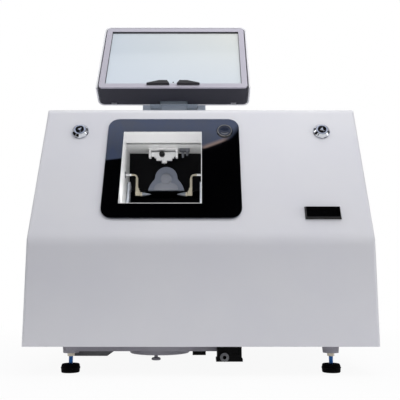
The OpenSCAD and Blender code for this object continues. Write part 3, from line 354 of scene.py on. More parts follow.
def finishes() -> list[Finish]:
    """Lists the finishes that are the same all over.

    Returns:
        One finish for each such material slot of the record.
    """
    lacquer, moulded, polished, rubber = Texture.LACQUER, Texture.MOULDED, Texture.POLISHED, Texture.RUBBER
    brushed, turned, cast, grit = Texture.BRUSHED, Texture.TURNED, Texture.CAST, Texture.GRIT
    return [
        Finish("case_paint", (225, 225, 230), (221, 221, 228), (0.3, 0.38), lacquer, 2.6, 0.004,
               coat=0.25, coat_rough=0.12),
        Finish("display_white", (232, 232, 235), (228, 228, 233), (0.22, 0.3), lacquer, 1.6, 0.003),
        Finish("window_white", (243, 243, 243), (239, 239, 240), (0.28, 0.4), moulded, 0.8, 0.01),
        Finish("fascia_black", (2, 2, 3), (4, 4, 6), (0.01, 0.03), polished, 9, 0.0006,
               coat=1.0, coat_rough=0.01, tint=(0.45, 0.6, 1.0), index=1.95),
        Finish("reader_black", (3, 3, 4), (7, 7, 9), (0.06, 0.12), polished, 5, 0.001, shine=0.4),
        Finish("shutter_clear", (222, 232, 238), (214, 226, 234), (0.03, 0.08), polished, 9, 0.001,
               clear=0.96, index=1.1),
        Finish("bezel_grey", (190, 187, 199), (184, 181, 194), (0.42, 0.55), moulded, 0.5, 0.012),
        Finish("chin_dark", (41, 41, 52), (48, 48, 59), (0.38, 0.5), moulded, 0.5, 0.012),
        Finish("clip_black", (32, 32, 36), (44, 44, 48), (0.4, 0.55), moulded, 0.6, 0.012),
        # The neck's steel-grey is painted paler than the bare metal and has no metallic: painted light that
        # lifts the neck and its hinge sleeves out of the shade under the display.
        Finish("neck_steel", (208, 217, 228), (190, 200, 212), (0.34, 0.46), brushed, 0.7, 0.004),
        Finish("chrome", (206, 208, 214), (194, 197, 204), (0.03, 0.08), polished, 4, 0.0008, metal=1.0),
        Finish("button_blue", (38, 46, 66), (28, 35, 54), (0.12, 0.2), polished, 3, 0.001, coat=0.6),
        Finish("cast_grey", (172, 170, 179), (146, 144, 154), (0.45, 0.62), cast, 1.8, 0.12, metal=0.3),
        Finish("panel_steel", (190, 191, 193), (172, 174, 178), (0.36, 0.5), brushed, 0.5, 0.004, metal=0.7),
        Finish("chassis_steel", (128, 131, 136), (114, 118, 124), (0.45, 0.6), lacquer, 1.2, 0.02),
        Finish("liner_white", (238, 238, 237), (231, 232, 232), (0.3, 0.44), moulded, 0.9, 0.012),
        Finish("housing_black", (3, 3, 5), (7, 7, 10), (0.35, 0.5), moulded, 1.0, 0.02, shine=0.12),
        Finish("steel", (206, 207, 210), (184, 186, 190), (0.22, 0.36), turned, 0.25, 0.003, metal=1.0),
        Finish("abrasive_grey", (118, 119, 122), (96, 97, 100), (0.6, 0.8), grit, 0.6, 0.06, metal=0.3),
        Finish("abrasive_bronze", (160, 138, 100), (140, 119, 84), (0.5, 0.7), grit, 0.3, 0.03, metal=0.5),
        Finish("motor_paint", (48, 49, 52), (36, 37, 40), (0.35, 0.5), lacquer, 0.8, 0.015),
        Finish("belt_rubber", (28, 28, 29), (38, 38, 39), (0.7, 0.85), rubber, 0.4, 0.03),
        Finish("yoke_blue", (224, 228, 236), (212, 218, 228), (0.24, 0.36), lacquer, 1.0, 0.006, metal=0.25),
        Finish("tool_white", (242, 242, 242), (234, 234, 235), (0.34, 0.46), moulded, 0.6, 0.01),
        Finish("nozzle_grey", (108, 110, 116), (90, 93, 100), (0.34, 0.46), moulded, 0.5, 0.01),
        Finish("black_plastic", (5, 5, 6), (12, 12, 13), (0.5, 0.65), moulded, 0.6, 0.015, shine=0.08),
        Finish("pipe_grey", (106, 107, 110), (92, 93, 97), (0.4, 0.55), moulded, 0.9, 0.01),
        Finish("nut_zinc", (208, 200, 184), (182, 172, 154), (0.26, 0.4), polished, 1.5, 0.003, metal=0.7),
        Finish("gear_brass", (206, 178, 112), (186, 158, 96), (0.24, 0.38), turned, 0.3, 0.004, metal=1.0),
        Finish("rack_plastic", (104, 104, 108), (90, 90, 95), (0.4, 0.52), moulded, 0.6, 0.01),
    ]


class Paints:
    """Every finish made once, and the CAD nodes dressed in them."""

    nodes_of_their_own = ("button_ring", "drill_arm", "front_cover", "display_shell")

    def __init__(self) -> None:
        """Makes the materials, those with two tones or more after the plain ones."""
        self.made = {finish.slot: finish.build() for finish in finishes()}
        for make in (self.stud_and_pad, self.lit_screen, self.ring_in_black, self.feeler, self.guard,
                     self.knob_in_white, self.front_with_painted_shade, self.shell_with_hinge):
            make()

    def dress_nodes(self) -> None:
        """Gives each CAD node the finish of its slot, or the one made for that node."""
        for name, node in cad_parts.items():
            for slot in node.material_slots:
                plain = slot.material.name.split(".")[0]
                slot.material = self.made[name if name in self.nodes_of_their_own else plain]

    def shell_with_hinge(self) -> None:
        """Makes the display's shell: white, with steel where the hinge is let in."""
        notch_half, notch_top, blur = 60.0, 638.0, 0.4
        sheet = NodeSheet("finish_display_shell")
        x, _, z = sheet.axes()
        hinge = sheet.product(sheet.before(sheet.off(x, HINGE_X), notch_half, blur),
                              sheet.before(z, notch_top, blur))
        white = sheet.blend(sheet.noise(sheet.place, CLOUDS_PER_METRE), shade(232, 232, 235),
                            shade(228, 228, 233))
        sheet.dress(Base_Color=sheet.blend(hinge, white, shade(174, 184, 196)))
        sheet.grained(sheet.noise(sheet.place, 620.0, 2), (0.22, 0.3), 0.003)
        self.made["display_shell"] = sheet.material

    def front_with_painted_shade(self) -> None:
        """Makes the cover's lacquer, with painted shade on the upright front: darkest just under the bend
        and fading out towards the bottom.
        """
        front_y, bend_z, low_z, high_z, share = -296.25, 263.0, 0.03, 0.24, 0.2
        sheet = NodeSheet("finish_front_cover", self.made["case_paint"])
        _, y, z = sheet.axes()
        # Painted shade: on the upright front only, the lacquer is blended by up to a fifth towards a darker
        # grey, most just under the bend and not at all at the bottom.
        painted_shade = sheet.product(sheet.before(y, front_y, 4.5), sheet.before(z, bend_z, 22.0),
                             sheet.ranged(z, 0, 1, low_z, high_z))
        plain = sheet.shader.inputs["Base Color"].links[0].from_socket
        sheet.dress(Base_Color=sheet.blend(sheet.ranged(painted_shade, 0, share, 0, 1), plain, shade(176, 176, 182)))
        self.made["front_cover"] = sheet.material

    def knob_in_white(self) -> None:
        """Makes the drilling arm: white moulding with a black knob."""
        knob_back, knob_radius = -125.4, 6.75
        sheet = NodeSheet("finish_drill_arm")
        x, y, z = sheet.axes()
        across = sheet.add("ShaderNodeCombineXYZ", X=x, Z=z).outputs["Vector"]
        away = sheet.reckon("DISTANCE", across, Vector(KNOB_PLACE) * MM, vector=True)
        knob = sheet.product(sheet.before(y, knob_back, 0.4), sheet.before(away, knob_radius, 0.3))
        grain = sheet.noise(sheet.place, 1600.0, 2)
        white = sheet.blend(grain, shade(242, 242, 242), shade(234, 234, 235))
        sheet.dress(Base_Color=sheet.blend(knob, white, shade(9, 9, 11)))
        sheet.grained(grain, (0.34, 0.46), 0.01)
        self.made["drill_arm"] = sheet.material

    def ring_in_black(self) -> None:
        """Makes the button's ring: black gloss with a thin chrome rim let in."""
        rim_inside, rim_outside, blur = 14.75, 15.35, 0.3
        sheet = NodeSheet("finish_button_ring")
        centre = SLOPE @ (Vector(BUTTON_PLACE) * MM)
        out = (SLOPE.to_3x3() @ Vector((0, 0, 1))).normalized()
        away = sheet.reckon("SUBTRACT", sheet.place, centre, vector=True)
        along = sheet.reckon("PROJECT", away, out, vector=True)
        radius = sheet.reckon("LENGTH", sheet.reckon("SUBTRACT", away, along, vector=True), vector=True)
        rim = sheet.product(sheet.past(radius, rim_inside, blur), sheet.before(radius, rim_outside, blur))
        sheet.dress(Base_Color=sheet.blend(rim, shade(6, 7, 10), shade(214, 213, 208)), Metallic=rim)
        sheet.grained(sheet.noise(sheet.mapped(WIPED), 60.0, 4), (0.05, 0.11), 0.001)
        self.made["button_ring"] = sheet.material

    def feeler(self) -> None:
        """Makes the feelers: ground grey tips, gold arms and bright guide rods."""
        tip_end, arm_end, blur = 49.5, 75.0, 0.6
        sheet = NodeSheet("finish_feeler")
        apart = sheet.off(sheet.axes()[0], WINDOW_X)
        cloud = sheet.noise(sheet.place, 60.0)
        gold = sheet.blend(cloud, shade(184, 177, 158), shade(160, 153, 136))
        arm = sheet.blend(sheet.past(apart, arm_end, blur), gold, shade(228, 229, 230))
        tip = sheet.blend(cloud, shade(128, 133, 141), shade(98, 103, 112))
        sheet.dress(Base_Color=sheet.blend(sheet.past(apart, tip_end, blur), tip, arm), Metallic=0.35)
        sheet.grained(sheet.noise(sheet.mapped((1, 1, 0.05)), 3000.0, 2), (0.24, 0.4), 0.003)
        self.made["feeler_gold"] = sheet.material

    def guard(self) -> None:
        """Makes the wheel guard: blue-grey, paler on its raised hood."""
        hood_rise, blur = 6.5, 0.6
        sheet = NodeSheet("finish_guard")
        front = min(vertex.co.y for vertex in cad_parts["wheel_guard"].data.vertices) / MM
        hood = sheet.before(sheet.axes()[1], front + hood_rise, blur)
        colour = sheet.blend(hood, shade(124, 130, 144), shade(142, 145, 154))
        cloud = sheet.ranged(sheet.noise(sheet.place, 30.0), 0, 0.25)
        sheet.dress(Base_Color=sheet.blend(cloud, colour, shade(112, 117, 130)))
        sheet.grained(sheet.noise(sheet.place, 1400.0, 2), (0.28, 0.38), 0.006)
        self.made["guard_grey"] = sheet.material

    def stud_and_pad(self) -> None:
        """Makes a levelling foot: rubber below, blue zinc on the stud above."""
        pad_top, blur = 17.4, 0.4
        sheet = NodeSheet("finish_foot")
        stud = sheet.past(sheet.axes()[2], pad_top, blur)
        worn = sheet.ranged(sheet.noise(sheet.place, 120.0, 4), 0, 1)
        rubber = sheet.blend(worn, shade(4, 4, 5), shade(10, 10, 11))
        zinc = sheet.blend(worn, shade(58, 112, 176), shade(36, 70, 128))
        sheet.dress(Base_Color=sheet.blend(stud, rubber, zinc), Metallic=stud, Specular_IOR_Level=0.05,
                    Roughness=sheet.ranged(stud, 0.72, 0.34, 0, 1))
        sheet.relief(sheet.noise(sheet.place, 1400.0, 2), 0.02)
        self.made["foot_rubber"] = sheet.material

    def lit_screen(self) -> None:
        """Makes the lit screen: a pale blue-grey, cooler to the left and warmer to the right, with painted
        shade that darkens it towards its lower edge.
        """
        left_x, right_x, low_z, high_z, painted_shade_share = -0.237, 0.103, 0.651, 0.842, 0.8
        sheet = NodeSheet("finish_screen")
        x, _, z = sheet.axes()
        across = sheet.ranged(x, 0, 1, left_x, right_x)
        colour = sheet.blend(across, shade(198, 207, 216), shade(220, 223, 219))
        # Painted shade: towards the lower edge the colour is blended by up to 0.8 into a darker blue-grey,
        # so that the top of the screen looks the most lit.
        colour = sheet.blend(sheet.ranged(z, painted_shade_share, 0, low_z, high_z), colour, shade(184, 194, 206))
        wiped = sheet.noise(sheet.mapped((1, 1, 0.4)), 30.0, 4)
        sheet.dress(Base_Color=colour, Emission_Color=colour, Emission_Strength=0.12, Coat_Weight=0.3,
                    Roughness=sheet.ranged(wiped, 0.16, 0.24))
        sheet.relief(sheet.noise(sheet.place, 3300.0, 0), 0.0006)
        self.made["screen"] = sheet.material


class Bench:
    """Modelling steps that the sub-assemblies share. Sizes are in millimetres."""

    bevel_angle = 35.0
    smooth_angle = 32.0
    paints: dict[str, Material] = {}
    count = 0

    @staticmethod
    def alone(piece: Piece) -> None:
        """Selects this piece and nothing else.

        Args:
            piece: The piece.
        """
        for other in bpy.context.selected_objects:
            other.select_set(False)
        piece.select_set(True)
        bpy.context.view_layer.objects.active = piece

    @staticmethod
    def bake(piece: Piece, name: str | None = None) -> Piece:
        """Puts a piece's place, turn and scale into its mesh.

        Args:
            piece: The piece.
            name: A new name for it.

        Returns:
            The same piece.
        """
        piece.name = name or piece.name
        Bench.alone(piece)
        bpy.ops.object.transform_apply(location=True, rotation=True, scale=True)
        return piece

    @staticmethod
    @contextmanager
    def editing(piece: Piece, kind: str = "FACE") -> Iterator[bmesh.types.BMesh]:
        """Opens a piece in edit mode with nothing selected.

        Args:
            piece: The piece.
            kind: What is selected, VERT, EDGE or FACE.

        Yields:
            The mesh under edit, in which faces or edges are selected.
        """
        Bench.alone(piece)
        bpy.ops.object.mode_set(mode="EDIT")
        bpy.ops.mesh.select_mode(type=kind)
        bpy.ops.mesh.select_all(action="DESELECT")
        yield bmesh.from_edit_mesh(piece.data)
        bpy.ops.object.mode_set(mode="OBJECT")

    @staticmethod
    def pick(mesh: bmesh.types.BMesh, test: Callable[[Face], bool]) -> None:
        """Selects the faces that pass a test."""
        for face in mesh.faces:
            face.select_set(bool(test(face)))

    @staticmethod
    def top(face: Face) -> bool:
        """Tells whether a face looks up its local Z."""
        return face.normal.z > 0.99

    @staticmethod
    def flat(name: str, size: Pair) -> Piece:
        """Starts a piece from a flat sheet that lies round the origin.

        Args:
            name: Name of the piece.
            size: Its width and height.

        Returns:
            The new object.
        """
        bpy.ops.mesh.primitive_plane_add(size=1, location=(0, 0, 0))
        piece = bpy.context.object
        piece.scale = (size[0] * MM, size[1] * MM, 1)
        return Bench.bake(piece, name)

    @staticmethod
    def block(name: str, size: Triple, centre: Triple = (0, 0, 0)) -> Piece:
        """Starts a piece from a block.

        Args:
            name: Name of the piece.
            size: Its size along X, Y and Z.
            centre: Its middle.

        Returns:
            The new object, with its size in its mesh.
        """
        bpy.ops.mesh.primitive_cube_add(size=1, location=Vector(centre) * MM, scale=Vector(size) * MM)
        return Bench.bake(bpy.context.object, name)

    @staticmethod
    def drum(name: str, radius: float, height: float, sides: int = 32, top: float | None = None) -> Piece:
        """Starts a round piece that stands on its base along the local Z.

        Args:
            name: Name of the piece.
            radius: Radius at the base.
            height: Height above the base.
            sides: Number of sides.
            top: Radius at the top, where it tapers.

        Returns:
            The new object.
        """
        bpy.ops.mesh.primitive_cone_add(
            vertices=sides, radius1=radius * MM, radius2=(radius if top is None else top) * MM,
            depth=height * MM, location=(0, 0, height / 2 * MM))
        return Bench.bake(bpy.context.object, name)

    @staticmethod
    def inset(piece: Piece, width: float, depth: float) -> None:
        """Insets the top faces and moves them along the local Z.

        Args:
            piece: The piece.
            width: Width of the inset.
            depth: How far the inner face moves, negative for a recess.
        """
        with Bench.editing(piece) as mesh:
            Bench.pick(mesh, Bench.top)
            bpy.ops.mesh.inset(thickness=width * MM, depth=0)
            bpy.ops.mesh.extrude_region_move(TRANSFORM_OT_translate={"value": (0, 0, depth * MM)})

    @staticmethod
    def modified(piece: Piece, kind: str, **settings: object) -> None:
        """Adds a modifier and applies it.

        Args:
            piece: The piece.
            kind: The modifier's type.
            settings: Its settings.
        """
        Bench.alone(piece)
        modifier = piece.modifiers.new(kind.lower(), kind)
        for name, value in settings.items():
            setattr(modifier, name, value)
        bpy.ops.object.modifier_apply(modifier=modifier.name)

    @staticmethod
    def soften(piece: Piece, width: float, steps: int = 2) -> None:
        """Rounds the sharp edges of a piece."""
        Bench.modified(piece, "BEVEL", width=width * MM, segments=steps, limit_method="ANGLE",
                       angle_limit=math.radians(Bench.bevel_angle))

    @staticmethod
    def rim(name: str, size: Pair, band: float, thick: float, corner: float) -> Piece:
        """Models a flat frame with rounded corners round the origin, its back at Z 0.

        Args:
            name: Name of the piece.
            size: Its outer width and height.
            band: Width of its band.
            thick: Thickness.
            corner: Outer corner radius.

        Returns:
            The new object.
        """
        piece = Bench.flat(name, size)
        with Bench.editing(piece, "VERT"):
            bpy.ops.mesh.select_all(action="SELECT")
            bpy.ops.mesh.bevel(offset=corner * MM, segments=8, affect="VERTICES")
        with Bench.editing(piece):
            bpy.ops.mesh.select_all(action="SELECT")
            bpy.ops.mesh.inset(thickness=band * MM, depth=0)
            bpy.ops.mesh.delete(type="FACE")
        Bench.modified(piece, "SOLIDIFY", thickness=thick * MM, offset=1.0)
        return piece

    @staticmethod
    def tube(name: str, points: Sequence[Triple], radius: float) -> Piece:
        """Models a wire along a smooth path.

        Args:
            name: Name of the piece.
            points: Points that it passes near, its ends among them.
            radius: Its radius.

        Returns:
            The new object, a closed mesh.
        """
        bpy.ops.curve.primitive_nurbs_path_add(location=(0, 0, 0))
        piece = bpy.context.object
        piece.name = name
        curve = piece.data
        curve.splines.clear()
        line = curve.splines.new("NURBS")
        line.points.add(len(points) - 1)
        for point, place in zip(line.points, points):
            point.co = (*(Vector(place) * MM), 1)
        line.use_endpoint_u = True
        line.order_u = 3
        curve.resolution_u = 6
        curve.bevel_depth = radius * MM
        curve.bevel_resolution = 4
        curve.use_fill_caps = True
        Bench.alone(piece)
        bpy.ops.object.convert(target="MESH")
        return bpy.context.object

    @staticmethod
    def again(pattern: Piece, names: str, places: Sequence[Matrix], slot: str, body: str = "root") -> None:
        """Copies a pattern to each place, each copy with a mesh of its own, and removes the pattern.

        Args:
            pattern: The piece to copy, in its own axes.
            names: Start of the copies' names, before their number.
            places: The places.
            slot: The material slot of the copies.
            body: The CAD body that carries them.
        """
        for number, place in enumerate(places, 1):
            copy = pattern.copy()
            copy.data = pattern.data.copy()
            copy.name = f"{names}_{number}"
            bpy.context.scene.collection.objects.link(copy)
            Bench.hand_over(copy, slot, body, place)
        bpy.data.objects.remove(pattern)

    @staticmethod
    def hand_over(piece: Piece, slot: str, body: str = "root", place: Matrix | None = None) -> None:
        """Settles, smooths and paints a finished piece and lets it ride on a body.

        Args:
            piece: The piece.
            slot: The material slot that it takes its finish from.
            body: The CAD body that carries it.
            place: Where it goes, if it isn't in its place yet.
        """
        piece.matrix_world = place or piece.matrix_world
        Bench.bake(piece)
        bpy.ops.object.shade_smooth_by_angle(angle=math.radians(Bench.smooth_angle))
        piece.data.materials.clear()
        piece.data.materials.append(Bench.paints[slot])
        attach(piece, body)
        Bench.count += 1
        LOG.info("%s: %d faces on %s", piece.name, len(piece.data.polygons), body)


class Head(Enum):
    """Heads of screws, with the share of their radius that stays round the recess."""

    SOCKET = 0.45
    CROSS = 0.6


@dataclass
class Screws:
    """A kind of screw, modelled once and copied to its places."""

    head: Head = Head.SOCKET
    radius: float = 3.4
    height: float = 2.2
    washer: float = 5.0
    washer_thick: float = 0.7
    recess_share: float = 0.45
    edge: float = 0.3
    slot: str = "steel"

    def fit(self, name: str, places: Sequence[Matrix], body: str = "root") -> None:
        """Models the screw with its washer and copies it to each place.

        Args:
            name: Start of each copy's name.
            places: The places, each with its Z out of the seat.
            body: The CAD body that carries them.
        """
        screw = Bench.drum("screw", self.washer, self.washer_thick)
        Bench.inset(screw, self.washer - self.radius, self.height)
        Bench.inset(screw, self.radius * self.head.value, -self.height * self.recess_share)
        Bench.soften(screw, self.edge)
        Bench.again(screw, name, places, self.slot, body)


@dataclass
class DisplayFittings:
    """Recess lining, touch panel, hinge sleeves, clip mark and rear cover of the tilting display."""

    glass_edge: float = 4.5
    gasket: Triple = (0.6, 4.4, 0.4)
    panel_rise: float = 3.9
    panel_gap: float = 0.1
    panel_step: Pair = (1.6, -0.15)
    panel_edge: float = 0.15
    hinge_axis: Pair = (-52.0, 622.0)
    sleeve: Pair = (11.3, 26.2)
    sleeve_wall: float = 0.25
    sleeve_spread: float = 45.0
    mark_radius: float = 1.5
    mark_height: float = 1.2
    mark_sunk: float = 0.4
    cover_size: Triple = (210.0, 96.0, 5.0)
    cover_step: Pair = (6.0, -0.8)
    louvres: int = 9
    louvre_size: Triple = (150.0, 3.2, 1.6)
    louvre_pitch: float = 7.4
    louvre_level: float = 2.0
    screw_margin: float = 4.0
    screw_level: float = 2.4

    def build(self) -> None:
        """Models and dresses the fittings."""
        self.screen_gasket()
        self.hinge_sleeves()
        self.clip_mark()
        self.rear_cover()

    def screen_gasket(self) -> None:
        """Models the dark lining of the screen's recess, and the touch panel in it."""
        low, high = span("screen_glass", DISPLAY)
        middle = (low + high) / 2
        size = (high.x - low.x - 2 * self.glass_edge, high.y - low.y - 2 * self.glass_edge)
        gasket = Bench.rim("screen_gasket", size, *self.gasket)
        place = spot(DISPLAY, middle.x, middle.y, high.z)
        Bench.hand_over(gasket, "clip_black", "display", spot(place, 0, 0, self.panel_rise))
        panel_size = (size[0] - 2 * self.panel_gap, size[1] - 2 * self.panel_gap, self.panel_rise)
        panel = Bench.block("touch_panel", panel_size, (0, 0, self.panel_rise / 2))
        Bench.inset(panel, *self.panel_step)
        Bench.soften(panel, self.panel_edge)
        Bench.hand_over(panel, "screen", "display", place)

    def hinge_sleeves(self) -> None:
        """Models the steel sleeves over the hinge's two knuckles."""
        for name, side in (("left", -1), ("right", 1)):
            sleeve = Bench.drum(f"hinge_sleeve_{name}", *self.sleeve, 48)
            with Bench.editing(sleeve) as mesh:
                Bench.pick(mesh, lambda face: abs(face.normal.z) > 0.9)
                bpy.ops.mesh.delete(type="FACE")
            Bench.modified(sleeve, "SOLIDIFY", thickness=self.sleeve_wall * MM, offset=-1.0)
            start = (HINGE_X + side * self.sleeve_spread - self.sleeve[1] / 2, *self.hinge_axis)
            Bench.hand_over(sleeve, "neck_steel", "display", facing(start, (1, 0, 0), (0, 0, 1)))

    def clip_mark(self) -> None:
        """Models the small guide mark between the two clips."""
        low, high = span("rest_clips", DISPLAY)
        face = span("display_bezel", DISPLAY)[1].z
        mark = Bench.drum("clip_mark", self.mark_radius, self.mark_height, 24)
        Bench.inset(mark, self.mark_radius / 3, -self.mark_sunk)
        place = spot(DISPLAY, (low.x + high.x) / 2, high.y - self.mark_radius, face - self.mark_sunk)
        Bench.hand_over(mark, "clip_black", "display", place)

    @staticmethod
    def back_place() -> Matrix:
        """Finds the flat back of the display's shell.

        Returns:
            The place in the middle of that face, looking out of it.
        """
        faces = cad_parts["display_shell"].data.polygons
        widest = max((face for face in faces if face.normal.y > 0.5), key=lambda face: face.area)
        flat = [face for face in faces if face.normal.dot(widest.normal) > 0.9999]
        middle = sum((face.center * face.area for face in flat), Vector()) / sum(face.area for face in flat)
        return facing(tuple(middle / MM), tuple(widest.normal), (0, 0, 1))

    def rear_cover(self) -> None:
        """Models the service cover with its louvres on the back of the display."""
        place = self.back_place()
        cover = Bench.block("display_rear_cover", self.cover_size)
        Bench.inset(cover, *self.cover_step)
        Bench.soften(cover, 1.2, 3)
        Bench.hand_over(cover, "bezel_grey", "display", place)
        bar = Bench.block("louvre", self.louvre_size)
        Bench.soften(bar, 0.7, 3)
        offsets = [(number - (self.louvres - 1) / 2) * self.louvre_pitch for number in range(self.louvres)]
        bars = [spot(place, 0, offset, self.louvre_level) for offset in offsets]
        Bench.again(bar, "display_louvre", bars, "clip_black", "display")
        half_x, half_y = (side / 2 - self.screw_margin for side in self.cover_size[:2])
        corners = [spot(place, x, y, self.screw_level) for x in (-half_x, half_x) for y in (-half_y, half_y)]
        Screws(Head.CROSS, 2.0, 0.9, 2.4).fit("display_cover_screw", corners, "display")


@dataclass
class ControlFittings:
    """Seal of the window and the faces of the cover locks."""

    window_place: Pair = (WINDOW_X, 171.2)
    seal_size: Pair = (176.5, 187.5)
    seal: Triple = (1.8, 0.45, 0.5)
    seal_level: float = 4.02
    lock_place: Pair = (269.0, 266.0)
    dish_margin: float = 0.6
    dish_rim: float = 0.7
    key_post: float = 6.0
    key_taper: float = 0.4
    key_height: float = 1.5
    key_turn: float = 12.0

    def build(self) -> None:
        """Models and dresses the seal and the lock faces."""
        self.window_seal()
        for side, name in ((-1, "left"), (1, "right")):
            self.lock_face(side, name)

    def window_seal(self) -> None:
        """Models the black lip that covers the outer half of the window frame's edge."""
        seal = Bench.rim("window_seal", self.seal_size, *self.seal)
        Bench.hand_over(seal, "fascia_black", place=spot(SLOPE, *self.window_place, self.seal_level))

    def lock_face(self, side: int, name: str) -> None:
        """Models the lock's recess as a shallow near-black dish, painted shade in place of the shadow deep
        in the keyway, and the three-sided post for its key.

        Args:
            side: -1 for the left lock, 1 for the right one.
            name: Which lock it is, as in the name of its core.
        """
        low, high = span(f"lock_core_{name}", SLOPE)
        place = spot(SLOPE, side * self.lock_place[0], self.lock_place[1], high.z)
        # Painted shade: the shallow dish is coloured near-black to stand for the shadow deep in the lock's
        # keyway.
        shade_dish = Bench.drum(f"lock_{name}_dish", (high.x - low.x) / 2 - self.dish_margin, 0.5, 48)
        Bench.inset(shade_dish, self.dish_rim, -self.dish_rim / 2)
        Bench.hand_over(shade_dish, "housing_black", f"lock_{name}", place)
        post = Bench.drum(f"lock_{name}_key_post", self.key_post, self.key_height, 3,
                          top=self.key_post - self.key_taper)
        Bench.soften(post, 1.1, 4)
        Bench.inset(post, 0.8, 0.3)
        turned = place @ Matrix.Rotation(math.radians(90 + side * self.key_turn), 4, "Z")
        Bench.hand_over(post, "chrome", f"lock_{name}", turned)


@dataclass
class RearFittings:
    """Screws, data ports and earth stud on the rear panel."""

    screw_rows: Sequence[float] = (80.0, 235.0, 395.0, 552.0)
    screw_columns: Sequence[float] = (-332.0, -166.0, 0.0, 166.0, 332.0)
    port_place: Pair = (-165.0, 150.0)
    plate_size: Triple = (64.0, 30.0, 2.0)
    port_size: Triple = (14.5, 12.0, 3.0)
    port_spread: float = 15.0
    port_level: float = 1.6
    port_wall: float = 1.2
    earth_place: Pair = (-240.0, 110.0)
    earth_washer: Pair = (7.0, 1.2)
    earth_length: float = 9.0
    earth_nut: Pair = (6.4, 4.6)

    def build(self) -> None:
        """Models and dresses the fittings."""
        columns, rows = self.screw_columns, self.screw_rows
        places = [spot(REAR, x, z) for x in (columns[0], columns[-1]) for z in rows]
        places += [spot(REAR, x, z) for x in columns[1:-1] for z in (rows[0], rows[-1])]
        Screws(radius=3.2).fit("rear_screw", places)
        self.data_ports()
        self.earth_stud()

    def data_ports(self) -> None:
        """Models the plate with the two data sockets beside the mains inlet."""
        x, z = self.port_place
        plate = Bench.block("port_plate", self.plate_size, (0, 0, self.plate_size[2] / 2))
        Bench.soften(plate, 1.0, 3)
        Bench.hand_over(plate, "black_plastic", place=spot(REAR, x, z))
        socket = Bench.block("port", self.port_size, (0, 0, self.port_size[2] / 2))
        Bench.inset(socket, self.port_wall, -2 * self.port_wall)
        Bench.soften(socket, 0.3, 1)
        places = [spot(REAR, x + side * self.port_spread, z, self.port_level) for side in (-1, 1)]
        Bench.again(socket, "data_port", places, "steel")

    def earth_stud(self) -> None:
        """Models the earthing stud with its nut and washer."""
        stud = Bench.drum("earth_stud", *self.earth_washer)
        Bench.inset(stud, 1.5, 0.0)
        Bench.inset(stud, 2.2, self.earth_length)
        Bench.soften(stud, 0.3, 1)
        Bench.hand_over(stud, "nut_zinc", place=spot(REAR, *self.earth_place))
        nut = Bench.drum("earth_nut", *self.earth_nut, 6)
        Bench.inset(nut, 0.9, 0.5)
        Bench.hand_over(nut, "nut_zinc", place=spot(REAR, *self.earth_place, self.earth_washer[1]))


@dataclass
class UndersideFittings:
    """Release collar of the water inlet, threads of the feet and bolts of the base."""

    collar_place: Pair = (46.0, 36.5)
    collar_radii: Pair = (8.8, 8.2)
    collar_height: float = 2.6
    collar_sunk: float = 2.4
    collar_wall: float = 1.6
    thread_start: float = 18.2
    thread_pitch: float = 1.75
    thread_radius: float = 0.42
    thread_steps: int = 14
    bolt_level: float = 57.9
    bolt_columns: Sequence[float] = (-310.0, 310.0)
    bolt_rows: Sequence[float] = (-140.0, 0.0, 140.0)

    def build(self) -> None:
        """Models and dresses the fittings."""
        self.water_fitting()
        self.stud_threads()
        self.base_bolts()

    def water_fitting(self) -> None:
        """Models the release collar round the water inlet."""
        x, z = self.collar_place
        valve_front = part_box("water_valve")[0].y / MM
        outer, inner = self.collar_radii
        collar = Bench.drum("water_fitting_collar", outer, self.collar_height, 40, top=inner)
        Bench.inset(collar, 2.6, 1.2)
        Bench.soften(collar, 0.4)
        with Bench.editing(collar) as mesh:
            Bench.pick(mesh, lambda face: abs(face.normal.z) > 0.98 and face.calc_area() > 6e-5)
            bpy.ops.mesh.inset(thickness=self.collar_wall * MM, depth=0)
            bpy.ops.mesh.delete(type="FACE")
        place = facing((x, valve_front + self.collar_sunk, z), (0, -1, 0), (0, 0, 1))
        Bench.hand_over(collar, "pipe_grey", place=place)

    def stud_threads(self) -> None:
        """Winds the thread on the bare part of each levelling stud."""
        nuts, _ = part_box("jam_nuts")
        for side in ("front_left", "front_right", "rear_left", "rear_right"):
            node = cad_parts[f"foot_{side}"]
            stud = [vertex.co / MM for vertex in node.data.vertices if vertex.co.z > nuts.z - 0.001]
            middle_x, middle_y = (
                (max(point[axis] for point in stud) + min(point[axis] for point in stud)) / 2
                for axis in (0, 1))
            radius = max(point.x for point in stud) - middle_x
            low, high = self.thread_start, nuts.z / MM - 0.4
            turns = (high - low) / self.thread_pitch
            steps = round(turns * self.thread_steps)
            points = []
            for step in range(steps + 1):
                angle = step / steps * turns * math.tau
                points.append((middle_x + radius * math.cos(angle), middle_y + radius * math.sin(angle),
                               low + (high - low) * step / steps))
            thread = Bench.tube(f"thread_{side}", points, self.thread_radius)
            Bench.hand_over(thread, "foot_rubber", f"foot_{side}")

    def base_bolts(self) -> None:
        """Copies socket bolts along the underside of the base."""
        places = [facing((x, y, self.bolt_level), (0, 0, -1), (0, 1, 0))
                  for x in self.bolt_columns for y in self.bolt_rows]
        Screws().fit("base_bolt", places)


def aimed(place: Triple, target: Triple, axis: str) -> Euler:
    """Gives the turn that points an axis from a place to a target, both in metres."""
    return (Vector(target) - Vector(place)).to_track_quat(axis, "Y").to_euler()


@dataclass(frozen=True)
class Lamp:
    """A soft lamp, its place and target in metres. Glossy surfaces mirror it only if it is glossy."""

    name: str
    place: Triple
    target: Triple
    size: Pair
    watts: float
    glossy: bool = True

    def hang(self) -> None:
        """Adds the lamp to the scene."""
        data = bpy.data.lights.new(self.name, "AREA")
        data.shape = "RECTANGLE"
        data.size, data.size_y = self.size
        data.energy = self.watts
        lamp = bpy.data.objects.new(self.name, data)
        lamp.location = self.place
        lamp.rotation_euler = aimed(self.place, self.target, "-Z")
        lamp.visible_glossy = self.glossy
        lamp.visible_camera = False
        bpy.context.scene.collection.objects.link(lamp)


